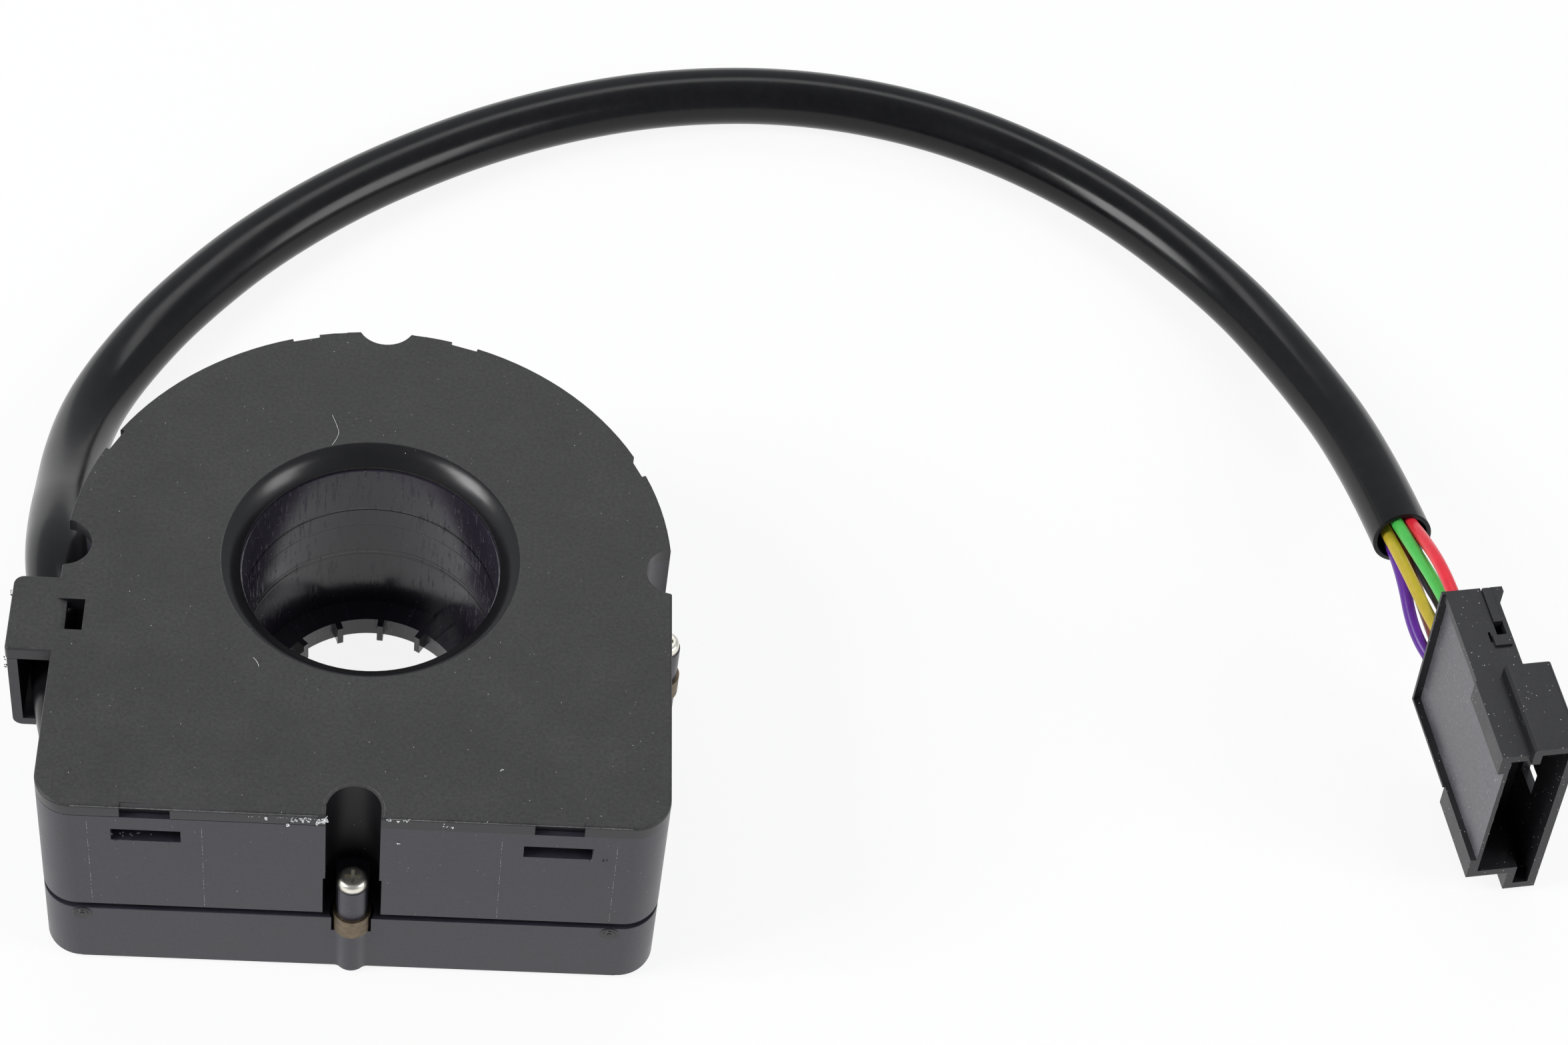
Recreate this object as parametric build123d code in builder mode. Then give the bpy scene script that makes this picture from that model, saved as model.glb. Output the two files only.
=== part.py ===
"""Steering angle sensor: a D-shaped housing round a free-turning ribbed rotor, with a sleeved six-wire lead.

The origin is on the rotor's axis at the underside. +Z is up, and the flat side faces -Y.
"""

import os
from math import cos, pi, radians, sin, tan

from build123d import *

os.makedirs("parts", exist_ok=True)

# Housing outline, seen from above
side_reach = 33.0
front_reach = 34.3
corner_radius = 4.0
least_corner = 0.5
wall = 2.2

# Heights of the stacked mouldings
base_height = 9.9
groove_height = 1.0
shell_height = 16.5
cover_thickness = 1.8
floor_thickness = 1.8
groove_depth = 1.0
spigot_rise = 2.4

# Clearances
seat_clearance = 0.05
turning_clearance = 0.08
free_gap = 0.3

# Rotor
bore_radius = 14.0
sleeve_wall = 1.5
rotor_lift = 0.3
rotor_top_gap = 0.2
collar_radius = 11.3
collar_height = 3.0
rib_count = 14
rib_phase = 8.0
rib_width = 0.7
rib_reach = 1.0
flange_width = 3.5
flange_thickness = 1.2
flange_height = 10.0
shoulder_width = 1.7
shoulder_thickness = 1.6

# Code disc, its retaining ring and the slide ring
fork_gap = 0.7
disc_thickness = 0.5
slot_count = 36
slot_length = 2.6
slot_edge = 1.0
index_slot_length = 1.6
retainer_thickness = 0.9
retainer_set_in = 1.0
slide_ring_thickness = 0.8
journal_wall = 1.8
journal_depth = 2.5

# Cover bore
lip_gap = 0.16
lip_height = 0.3
bevel_rise = 1.8
bevel_run = 2.05
edge_round = 0.3

# Screws and what they clamp
screw_set_out = 0.25
front_screw_set_in = 1.05
screw_head_radius = 1.6
screw_head_height = 1.1
screw_shank_radius = 0.8
screw_length = 10.5
recess_length = 1.7
recess_width = 0.4
recess_depth = 0.7
channel_radius = 3.1
channel_wall = 1.6
front_channel_radius = 2.85
front_channel_foot = 17.5
back_notch_set_out = 1.3
back_notch_radius = 3.3
lug_radius = 1.75
lug_top = 15.4
lug_seam = 11.6
insert_radius = 2.05
insert_height = 3.0
insert_bottom = 7.4
boss_radius = 1.75
boss_wall = 1.2
foot_blend = 0.9
foot_bevel = 0.4

# Snap hooks of the cover and their windows in the shell
hook_width = 5.2
hook_offset = 21.4
side_hook_width = 3.1
side_hook_angles = (27, 74, 106, 153)
hook_thickness = 1.2
hook_barb = 1.0
window_bottom = 23.2
window_height = 2.0
window_margin = 1.0
notch_depth = 0.6

# Cable clip on the left wall
clip_near = -14.7
clip_far = -4.8
clip_wall = 1.1
clip_play = 0.3
clip_set_in = 1.9
clip_floor = 15.5
trough_end = -20.0
trough_wall = 1.6
relief_depth = 2.0
relief_end = 11.4
ear_overhang = 0.15
ear_front_round = 0.4
slot_window_length = 4.1
slot_window_width = 1.95
slot_window_inset = 1.0
slot_window_run = 1.1
slot_window_fall = 0.5

# Board and what is soldered to it
board_thickness = 1.6
board_height = 4.0
board_ledge = 1.0
board_gap = 0.3
board_hole_gap = 3.2
controller_angle = 58
controller_side = 7.0
controller_lead_count = 8
chip_height = 1.4
package_bevel = 0.25
lead_reach = 0.65
lead_thickness = 0.4
driver_angle = 115
driver_length = 6.0
driver_width = 3.5
driver_lead_count = 4
regulator_angle = 142
regulator_length = 6.5
regulator_width = 3.5
regulator_height = 1.7
regulator_lead_count = 3
input_angle = 13
output_angle = 32
capacitor_radius = 2.5
capacitor_height = 4.2
capacitor_foot = 5.4
capacitor_foot_height = 0.8
resonator_angle = 82
resonator_length = 5.0
resonator_width = 3.2
resonator_height = 1.2
resonator_round = 0.8
header_angle = 196
header_pitch = 2.0
header_width = 2.4
header_height = 2.6
barrier_angle_a = 225
barrier_angle_b = 315
index_angle = 293
barrier_width = 5.0
barrier_back = 2.4
barrier_reach = 4.8
barrier_lens = 1.2
barrier_gap = 1.5
barrier_arm = 3.0

# Lead
sleeve_radius = 3.6
sleeve_wall_thickness = 0.6
sleeve_open_depth = 9.0
entry_points = 5
wire_radius = 0.75

# Plug, drawn from the lower left corner of its rear face
plug_corner = (123.3, 5.48, 5.02)
plug_forward = (0.13, -0.99012, 0.05251)
plug_across = (0.98957, 0.13288, 0.05557)
plug_length = 24.2
plug_height = 19.6
plug_thickness = 5.9
plug_wall = 1.0
rear_lip_width = 0.9
rear_lip_length = 0.8
rear_lip_slope = 1.6
rim_width = 0.4
rim_rise = 0.4
panel_depth = 0.5
panel_top = 18.6
ridge_bottom = 16.6
mouth_swell = 0.2
mouth_thickness = 8.6
mouth_start = 13.3
mouth_left_width = 4.8
mouth_left_drop = 2.8
mouth_right_drop = 5.9
key_left = 3.1
key_start = 12.6
key_rise = 1.5
key_overhang = 0.6
key_round = 0.5
latch_window_start = 15.3
latch_window_length = 3.7
latch_window_bottom = 4.9
latch_window_height = 3.5
socket_depth = 15.5
terminal_pitch = 2.54
terminal_row = 2.4
terminal_first = 3.45
terminal_side = 0.8
terminal_length = 17.0
terminal_point = 0.2
wire_hole_depth = 4.3
lock_left = 4.25
lock_width = 1.05
lock_length = 5.3
lock_rise = 0.3
lock_depth = 3.0
lock_travel = 1.8
catch_start = 7.2
catch_length = 1.5
catch_left = 3.5
catch_width = 2.0
catch_rise = 0.3
catch_slit = 0.3
catch_slit_lead = 0.7

# Points that the lead follows: the sleeve from inside the left wall, then each wire from inside the sleeve
sleeve_route = [
    (-27.9, -27.2, 19.7),
    (-30.6, -19.6, 20.3),
    (-32.4, -11.6, 20.7),
    (-32.9, -4.2, 20.9),
    (-34.8, 4.0, 20.1),
    (-35.6, 12.5, 16.4),
    (-36.0, 21.5, 11.4),
    (-36.2, 30.5, 7.4),
    (-35.2, 39.5, 4.7),
    (-32.2, 48.0, 3.7),
    (-26.5, 58.1, 3.7),
    (-16.6, 70.8, 3.7),
    (-2.9, 82.9, 3.7),
    (14.9, 93.8, 3.7),
    (34.4, 100.6, 3.7),
    (54.5, 102.1, 3.7),
    (74.1, 97.6, 3.7),
    (91.9, 87.1, 3.7),
    (106.3, 71.8, 4.1),
    (114.0, 57.6, 5.7),
    (120.3, 39.9, 9.0),
    (122.25, 23.8, 12.6),
]
wire_routes = {
    "red": [
        (122.03, 32.86, 12.05), (122.8, 26.2, 13.6), (123.3, 20.1, 17.1),
        (123.8, 14.0, 20.0), (124.52, 7.71, 21.19), (125.22, 2.37, 21.48),
    ],
    "green": [
        (120.3, 32.65, 12.15), (120.99, 26.93, 13.43), (121.9, 20.0, 16.2),
        (123.6, 13.3, 17.6), (124.68, 7.6, 18.66), (125.38, 2.25, 18.95),
    ],
    "black": [
        (122.94, 32.64, 10.67), (123.64, 26.92, 11.95), (124.3, 19.1, 11.7),
        (125.5, 12.0, 14.0), (124.83, 7.48, 16.13), (125.54, 2.14, 16.41),
    ],
    "yellow": [
        (119.47, 32.22, 10.67), (120.16, 26.5, 11.95), (121.4, 19.4, 13.7),
        (123.6, 12.6, 12.9), (124.99, 7.37, 13.6), (125.69, 2.03, 13.88),
    ],
    "brown": [
        (122.05, 32.2, 9.3), (122.72, 26.1, 10.6), (123.6, 19.1, 10.4),
        (125.3, 12.2, 9.2), (125.15, 7.26, 11.06), (125.85, 1.91, 11.35),
    ],
    "purple": [
        (120.38, 31.99, 9.19), (121.07, 26.28, 10.47), (122.0, 19.2, 11.3),
        (122.9, 12.2, 9.2), (125.31, 7.14, 8.53), (126.01, 1.8, 8.81),
    ],
}

# Heights and radii that follow
screw_reach = side_reach + screw_set_out
front_screw_reach = front_reach - front_screw_set_in
shell_bottom = base_height + groove_height
shell_top = shell_bottom + shell_height
total_height = shell_top + cover_thickness
sleeve_outer = bore_radius + sleeve_wall
disc_radius = side_reach - wall - fork_gap - barrier_back - free_gap
rotor_top = shell_top - lip_height - rotor_top_gap
flange_top = flange_height + flange_thickness
journal_radius = sleeve_outer + turning_clearance
journal_bottom = shell_top - journal_depth
slide_ring_bottom = journal_bottom - slide_ring_thickness - seat_clearance
shoulder_top = slide_ring_bottom
lip_radius = bore_radius + lip_gap
board_top = board_height + board_thickness
clip_inner = side_reach - relief_depth - clip_set_in
clip_outer = clip_inner + 2 * sleeve_radius + clip_play
cable_rest = clip_floor + clip_wall


def housing_outline(inset):
    """Half-round back, straight sides and a flat front with round corners, drawn inside the housing's edge."""
    half_width = side_reach - inset
    reach = front_reach - inset
    with BuildSketch() as outline:
        Circle(half_width)
        with Locations((0, -reach / 2)):
            Rectangle(2 * half_width, reach)
        fillet(outline.vertices().group_by(Axis.Y)[0], max(corner_radius - inset, least_corner))
    return outline.sketch


def around(reach, angle):
    """Point at a distance from the rotor's axis, in a direction given in degrees."""
    return (reach * cos(radians(angle)), reach * sin(radians(angle)))


screw_angles = {"front": 270, "right": 0, "back": 90, "left": 180}
screw_reaches = [front_screw_reach, screw_reach, screw_reach, screw_reach]
screw_points = [around(reach, angle) for reach, angle in zip(screw_reaches, screw_angles.values())]


def ring_profile(inner, outer, bottom, top):
    """Rectangular section of a turned ring, drawn in the XZ plane."""
    with BuildSketch(Plane.XZ) as profile:
        with Locations(((inner + outer) / 2, (bottom + top) / 2)):
            Rectangle(outer - inner, top - bottom)
    return profile.sketch


def cord_tube(route, radius):
    """Round cord along straight runs that tangent arcs join, with each arc as large as its runs allow."""
    points = [Vector(*point) for point in route]
    radii = []
    for before, corner, after in zip(points, points[1:], points[2:]):
        shorter = min((corner - before).length, (after - corner).length)
        turn = radians((corner - before).get_angle(after - corner))
        radii.append(0.45 * shorter / tan(turn / 2))
    with BuildPart() as cord:
        with BuildLine() as path:
            FilletPolyline(*points, radius=radii)
        with BuildSketch(Plane(origin=points[0], z_dir=points[1] - points[0])):
            Circle(radius)
        sweep()
    length = sum(edge.length for edge in path.edges())
    print("radii", [round(value, 1) for value in radii], "length", round(length, 1))
    print("volume", round(cord.part.volume, 1), "section times length", round(pi * radius**2 * length, 1))
    return cord.part


# Base: tray with a floor, a ledge for the board, screw bosses and a spigot for the shell
boss_inner_radius = insert_radius + free_gap + boss_wall
with BuildPart() as base:
    with BuildSketch():
        add(housing_outline(0))
        with Locations(*screw_points):
            Circle(boss_radius)
    extrude(amount=insert_bottom)
    fillet(base.edges().filter_by(Axis.Z).group_by(SortBy.LENGTH)[-1].filter_by(
        lambda edge: abs(edge.center().X) < 2 * boss_radius or abs(edge.center().Y) < 2 * boss_radius
    ), foot_blend)
    with BuildSketch(Plane.XY.offset(insert_bottom)):
        add(housing_outline(0))
    extrude(amount=base_height - insert_bottom)
    with BuildSketch(Plane.XY.offset(floor_thickness)):
        add(housing_outline(wall + board_ledge))
        with Locations(*screw_points):
            Circle(boss_inner_radius, mode=Mode.SUBTRACT)
    extrude(amount=base_height, mode=Mode.SUBTRACT)
    with BuildSketch(Plane.XY.offset(board_height)):
        add(housing_outline(wall))
        with Locations(*screw_points):
            Circle(boss_inner_radius, mode=Mode.SUBTRACT)
    extrude(amount=base_height, mode=Mode.SUBTRACT)
    with BuildSketch(Plane.XY.offset(base_height)):
        add(housing_outline(groove_depth))
        add(housing_outline(wall), mode=Mode.SUBTRACT)
        with Locations(*screw_points):
            Circle(channel_radius + channel_wall + seat_clearance, mode=Mode.SUBTRACT)
    extrude(amount=groove_height + spigot_rise)
    with BuildSketch(Plane.XY.offset(insert_bottom)):
        with Locations(*screw_points):
            Circle(insert_radius + free_gap)
    extrude(amount=base_height, mode=Mode.SUBTRACT)
    with Locations(*[(x, y, insert_bottom) for x, y in screw_points]):
        Hole(screw_shank_radius + seat_clearance, depth=insert_bottom - floor_thickness)
    Hole(journal_radius)
    chamfer(base.faces().sort_by(Axis.Z)[0].outer_wire().edges(), foot_bevel)
base.part.label = "base"
export_step(base.part, "parts/base.step")


# Shell: wall with screw channels and lugs, snap windows, the lead's trough and the clip that holds the lead
relief_reach = side_reach - relief_depth
relief_floor = shell_bottom + spigot_rise + wall / 2
trough_inner = clip_inner - trough_wall
lug_neck = channel_radius + lug_radius / 2
with BuildPart() as shell:
    with BuildSketch(Plane.XY.offset(shell_bottom)):
        add(housing_outline(0))
    extrude(amount=shell_height)
    with BuildSketch(Plane.XY.offset(shell_bottom)):
        add(housing_outline(wall))
        with Locations(*screw_points):
            Circle(channel_radius + channel_wall, mode=Mode.SUBTRACT)
    extrude(amount=clip_floor - shell_bottom, mode=Mode.SUBTRACT)
    with BuildSketch(Plane.XY.offset(clip_floor)):
        add(housing_outline(wall))
        with Locations(*screw_points):
            Circle(channel_radius + channel_wall, mode=Mode.SUBTRACT)
        with Locations((-side_reach, trough_end - trough_wall)):
            Rectangle(side_reach - trough_inner, -trough_end, align=(Align.MIN, Align.MIN), mode=Mode.SUBTRACT)
        with Locations((-side_reach, 0)):
            Rectangle(
                relief_depth + trough_wall,
                relief_end + trough_wall,
                align=(Align.MIN, Align.MIN),
                mode=Mode.SUBTRACT,
            )
    extrude(amount=shell_height, mode=Mode.SUBTRACT)
    with BuildSketch(Plane.XY.offset(shell_bottom)):
        add(housing_outline(groove_depth - seat_clearance))
        add(housing_outline(wall + seat_clearance), mode=Mode.SUBTRACT)
        with Locations(*screw_points):
            Circle(channel_radius + channel_wall, mode=Mode.SUBTRACT)
    extrude(amount=spigot_rise + seat_clearance, mode=Mode.SUBTRACT)

    # Clip, a hooked strip that carries the lead against the wall
    with BuildSketch(Plane.XZ.offset(-clip_near)):
        with Locations((-clip_outer - clip_wall, clip_floor)):
            Rectangle(clip_wall, shell_top - clip_floor, align=(Align.MIN, Align.MIN))
            Rectangle(clip_outer + clip_wall - clip_inner, clip_wall, align=(Align.MIN, Align.MIN))
    extrude(amount=clip_near - clip_far)
    fillet(shell.edges().filter_by(Axis.Y).sort_by(Axis.X)[0:2].sort_by(Axis.Z)[0], clip_wall)

    # Trough behind the clip and the relief beside the left channel
    with Locations((-clip_inner, trough_end, cable_rest)):
        Box(2 * relief_depth, -trough_end, shell_height, align=(Align.MAX, Align.MIN, Align.MIN), mode=Mode.SUBTRACT)
    with Locations((-relief_reach, 0, relief_floor)):
        Box(
            2 * relief_depth,
            relief_end,
            shell_height,
            align=(Align.MAX, Align.MIN, Align.MIN),
            mode=Mode.SUBTRACT,
        )

    # The lead's way through the wall and the trough
    add(cord_tube(sleeve_route[:entry_points], sleeve_radius + seat_clearance), mode=Mode.SUBTRACT)

    # Screwdriver channels and the lugs that stand in them
    with BuildSketch(Plane.XY.offset(shell_bottom)):
        with Locations(*screw_points[1:]):
            Circle(channel_radius)
    extrude(amount=shell_height, mode=Mode.SUBTRACT)
    with BuildSketch(Plane.XY.offset(shell_bottom)):
        with Locations(screw_points[0]):
            Circle(channel_radius)
            Rectangle(2 * channel_radius, front_reach, align=(Align.CENTER, Align.MAX))
    extrude(amount=front_channel_foot - shell_bottom, mode=Mode.SUBTRACT)
    with BuildSketch(Plane.XY.offset(front_channel_foot)):
        with Locations(screw_points[0]):
            Circle(front_channel_radius)
            Rectangle(2 * front_channel_radius, front_reach, align=(Align.CENTER, Align.MAX))
    extrude(amount=shell_height, mode=Mode.SUBTRACT)
    with BuildSketch(Plane.XY.offset(insert_bottom + insert_height)):
        with Locations(*screw_points):
            Circle(lug_radius - seat_clearance)
    extrude(amount=lug_top - insert_bottom - insert_height)
    with BuildSketch(Plane.XY.offset(lug_seam)):
        with Locations(*[Location((x, y, 0), (0, 0, angle)) for (x, y), angle in zip(screw_points, screw_angles.values())]):
            Circle(lug_radius)
            Rectangle(lug_neck, 2 * lug_radius, align=(Align.MAX, Align.CENTER))
    extrude(amount=lug_top - lug_seam)
    with Locations(*[(x, y, lug_top) for x, y in screw_points]):
        Hole(screw_shank_radius + seat_clearance, depth=shell_height)

    # Windows that take the cover's snap hooks
    with Locations(
        (-hook_offset, -front_reach, window_bottom),
        (hook_offset, -front_reach, window_bottom),
    ):
        Box(
            hook_width + 2 * window_margin,
            2 * wall + free_gap,
            window_height,
            align=(Align.CENTER, Align.CENTER, Align.MIN),
            mode=Mode.SUBTRACT,
        )
    with Locations(*[Location((*around(side_reach, angle), window_bottom), (0, 0, angle)) for angle in side_hook_angles]):
        Box(
            2 * wall + free_gap,
            side_hook_width + 2 * window_margin,
            window_height,
            align=(Align.CENTER, Align.CENTER, Align.MIN),
            mode=Mode.SUBTRACT,
        )
shell.part.label = "shell"
export_step(shell.part, "parts/shell.step")

# Cover: top plate with the bevelled bore, the ear over the clip, the lead's window and the snap hooks
barb_top = window_bottom + window_height - seat_clearance
hook_seat = wall + free_gap / 2
front_hooks = [((side * hook_offset, hook_seat - front_reach), 270, hook_width) for side in (-1, 1)]
side_hooks = [(around(side_reach - hook_seat, angle), angle, side_hook_width) for angle in side_hook_angles]
bevel_floor = total_height - bevel_rise
with BuildPart() as cover:
    with BuildSketch(Plane.XY.offset(shell_top)) as plate:
        add(housing_outline(0))
        with Locations((-side_reach, clip_near)):
            Rectangle(
                clip_outer + clip_wall + ear_overhang - side_reach,
                clip_far - clip_near,
                align=(Align.MAX, Align.MIN),
            )
        fillet(plate.vertices().sort_by(Axis.X)[0:2].sort_by(Axis.Y)[1], clip_wall)
        fillet(plate.vertices().sort_by(Axis.X)[0:2].sort_by(Axis.Y)[0], ear_front_round)
    extrude(amount=cover_thickness)
    fillet(cover.faces().sort_by(Axis.Z)[-1].outer_wire().edges(), edge_round)

    # Notches over the screw channels and the hooks
    with BuildSketch(Plane.XY.offset(shell_top)):
        with Locations(screw_points[1], screw_points[3]):
            Circle(channel_radius)
        with Locations((0, side_reach + back_notch_set_out)):
            Circle(back_notch_radius)
        with Locations(screw_points[0]):
            Circle(front_channel_radius)
            Rectangle(2 * front_channel_radius, front_reach, align=(Align.CENTER, Align.MAX))
        with Locations((-hook_offset, -front_reach), (hook_offset, -front_reach)):
            Rectangle(hook_width, 2 * notch_depth)
        with Locations(*[Location((*around(side_reach, angle), 0), (0, 0, angle)) for angle in side_hook_angles]):
            Rectangle(2 * notch_depth, side_hook_width)
    extrude(amount=cover_thickness, mode=Mode.SUBTRACT)

    # Journal ring below the bore, the bore's lip and its bevel
    revolve(ring_profile(lip_radius, journal_radius + journal_wall, shell_top - lip_height, shell_top))
    revolve(ring_profile(journal_radius, journal_radius + journal_wall, journal_bottom, shell_top))
    Hole(lip_radius)
    with BuildSketch(Plane.XZ):
        with BuildLine():
            Polyline(
                (0, bevel_floor),
                (lip_radius, bevel_floor),
                (lip_radius + bevel_run, total_height),
                (lip_radius + bevel_run, total_height + bevel_rise),
                (0, total_height + bevel_rise),
                close=True,
            )
        make_face()
    revolve(mode=Mode.SUBTRACT)
    bevel_edge = cover.edges().filter_by(GeomType.CIRCLE).group_by(Axis.Z)[-1].filter_by(
        lambda edge: abs(edge.radius - lip_radius - bevel_run) < seat_clearance
    )
    fillet(bevel_edge, edge_round)

    # Window beside the lead, with a sloped edge
    with BuildSketch(Plane.XY.offset(shell_top)):
        with Locations((slot_window_inset - side_reach, (clip_near + clip_far) / 2)):
            Rectangle(slot_window_width, slot_window_length, align=(Align.MIN, Align.CENTER))
    extrude(amount=cover_thickness, mode=Mode.SUBTRACT)
    with BuildSketch(Plane.XZ.offset(-(clip_near + clip_far) / 2)):
        with BuildLine():
            Polyline(
                (slot_window_inset - side_reach, total_height),
                (slot_window_inset - side_reach, total_height - slot_window_fall),
                (slot_window_inset - side_reach - slot_window_run, total_height),
                close=True,
            )
        make_face()
    extrude(amount=slot_window_length / 2, both=True, mode=Mode.SUBTRACT)

    # Snap hooks, each a finger inside the wall with a barb that stands in its window
    for place, angle, width in front_hooks + side_hooks:
        outward = Vector(cos(radians(angle)), sin(radians(angle)), 0)
        with BuildSketch(Plane(origin=(*place, 0), x_dir=outward, z_dir=outward.cross(Vector(0, 0, 1)))):
            with BuildLine():
                Polyline(
                    (-hook_thickness, shell_top),
                    (-hook_thickness, window_bottom),
                    (0, window_bottom),
                    (hook_barb, barb_top - hook_barb / 2),
                    (hook_barb, barb_top),
                    (0, barb_top),
                    (0, shell_top),
                    close=True,
                )
            make_face()
        extrude(amount=width / 2, both=True)
cover.part.label = "cover"
export_step(cover.part, "parts/cover.step")


# Rotor: bore sleeve with the ribbed drive collar, the disc's flange and two thrust shoulders
shoulder_radius = sleeve_outer + shoulder_width
lower_shoulder = floor_thickness + rotor_top_gap
with BuildPart() as rotor:
    revolve(ring_profile(bore_radius, sleeve_outer, rotor_lift, rotor_top))
    revolve(ring_profile(collar_radius, sleeve_outer, rotor_lift, collar_height))
    revolve(ring_profile(bore_radius, sleeve_outer + flange_width, flange_height, flange_top))
    revolve(ring_profile(bore_radius, shoulder_radius, shoulder_top - shoulder_thickness, shoulder_top))
    revolve(ring_profile(bore_radius, shoulder_radius, lower_shoulder, lower_shoulder + shoulder_thickness))
    with BuildSketch(Plane.XY.offset(rotor_lift)):
        with PolarLocations(collar_radius, rib_count, start_angle=rib_phase):
            with Locations((sleeve_wall / 2, 0)):
                Rectangle(rib_reach + sleeve_wall / 2, rib_width, align=(Align.MAX, Align.CENTER))
    extrude(amount=collar_height - rotor_lift)
rotor.part.label = "rotor"
export_step(rotor.part, "parts/rotor.step")


# Code disc: thin slotted disc on the rotor's flange, with one short index slot further in
slot_middle = disc_radius - slot_edge - slot_length / 2
slot_width = pi * slot_middle / slot_count
index_inner = disc_radius - 2 * slot_edge - slot_length - index_slot_length
disc_top = flange_top + disc_thickness
with BuildPart() as code_disc:
    with BuildSketch(Plane.XY.offset(flange_top)):
        Circle(disc_radius)
        Circle(sleeve_outer + seat_clearance, mode=Mode.SUBTRACT)
        with PolarLocations(slot_middle, slot_count):
            Rectangle(slot_length, slot_width, mode=Mode.SUBTRACT)
        with Locations((0, index_inner)):
            Rectangle(slot_width, index_slot_length, align=(Align.CENTER, Align.MIN), mode=Mode.SUBTRACT)
    extrude(amount=disc_thickness)
code_disc.part.label = "code_disc"
export_step(code_disc.part, "parts/code_disc.step")

# Retaining ring pressed down on the disc
with BuildPart() as disc_retainer:
    revolve(ring_profile(
        sleeve_outer + seat_clearance,
        sleeve_outer + flange_width - retainer_set_in,
        disc_top,
        disc_top + retainer_thickness,
    ))
disc_retainer.part.label = "disc_retainer"
export_step(disc_retainer.part, "parts/disc_retainer.step")

# Slide ring between the rotor's upper shoulder and the cover's journal
with BuildPart() as slide_ring:
    revolve(ring_profile(
        journal_radius, shoulder_radius, slide_ring_bottom, slide_ring_bottom + slide_ring_thickness
    ))
slide_ring.part.label = "slide_ring"
export_step(slide_ring.part, "parts/slide_ring.step")


# Circuit board, resting on the base's ledge and notched for the screw bosses
board_hole_radius = sleeve_outer + board_hole_gap
with BuildPart() as circuit_board:
    with BuildSketch(Plane.XY.offset(board_height)):
        add(housing_outline(wall + board_gap))
        Circle(board_hole_radius, mode=Mode.SUBTRACT)
        with Locations(*screw_points):
            Circle(boss_inner_radius + board_gap, mode=Mode.SUBTRACT)
    extrude(amount=board_thickness)
circuit_board.part.label = "circuit_board"
export_step(circuit_board.part, "parts/circuit_board.step")


# Packages soldered round the board, halfway between its hole and its edge
board_middle = (board_hole_radius + side_reach - wall - board_gap) / 2


def leaded_package(angle, length, width, height, leads):
    """Moulded package with a row of leads along each long side, turned to face the rotor's axis."""
    with BuildPart() as package:
        with BuildSketch():
            Rectangle(width, length)
        extrude(amount=height)
        chamfer(package.edges().group_by(Axis.Z)[-1], package_bevel)
        with BuildSketch():
            with GridLocations(width + lead_reach, length / leads, 2, leads):
                Rectangle(lead_reach, length / leads / 2)
        extrude(amount=lead_thickness)
    return package.part.moved(Location((*around(board_middle, angle), board_top), (0, 0, angle)))


packages = {
    "controller_chip": (controller_angle, controller_side, controller_side, chip_height, controller_lead_count),
    "line_driver_chip": (driver_angle, driver_length, driver_width, chip_height, driver_lead_count),
    "voltage_regulator": (regulator_angle, regulator_length, regulator_width, regulator_height, regulator_lead_count),
}
for name, (angle, length, width, height, leads) in packages.items():
    package = leaded_package(angle, length, width, height, leads)
    package.label = name
    export_step(package, f"parts/{name}.step")

for name, angle in {"input_capacitor": input_angle, "output_capacitor": output_angle}.items():
    capacitor_plane = Plane(origin=(*around(board_middle, angle), board_top))
    with BuildPart() as capacitor:
        with BuildSketch(capacitor_plane):
            RectangleRounded(capacitor_foot, capacitor_foot, edge_round)
        extrude(amount=capacitor_foot_height)
        with BuildSketch(capacitor_plane):
            Circle(capacitor_radius)
        extrude(amount=capacitor_height)
        fillet(capacitor.edges().sort_by(Axis.Z)[-1], edge_round)
    capacitor.part.label = name
    export_step(capacitor.part, f"parts/{name}.step")

resonator_plane = Plane(Location((*around(board_middle, resonator_angle), board_top), (0, 0, resonator_angle)))
with BuildPart() as resonator:
    with BuildSketch(resonator_plane):
        RectangleRounded(resonator_width, resonator_length, resonator_round)
    extrude(amount=resonator_height)
resonator.part.label = "resonator"
export_step(resonator.part, "parts/resonator.step")

header_plane = Plane(Location((*around(board_middle, header_angle), board_top), (0, 0, header_angle)))
with BuildPart() as wire_header:
    with BuildSketch(header_plane):
        Rectangle(header_width, len(wire_routes) * header_pitch)
    extrude(amount=header_height)
    with BuildSketch(header_plane):
        with GridLocations(header_pitch, header_pitch, 1, len(wire_routes)):
            Circle(wire_radius + seat_clearance)
    extrude(amount=header_height, mode=Mode.SUBTRACT)
wire_header.part.label = "wire_header"
export_step(wire_header.part, "parts/wire_header.step")


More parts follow.
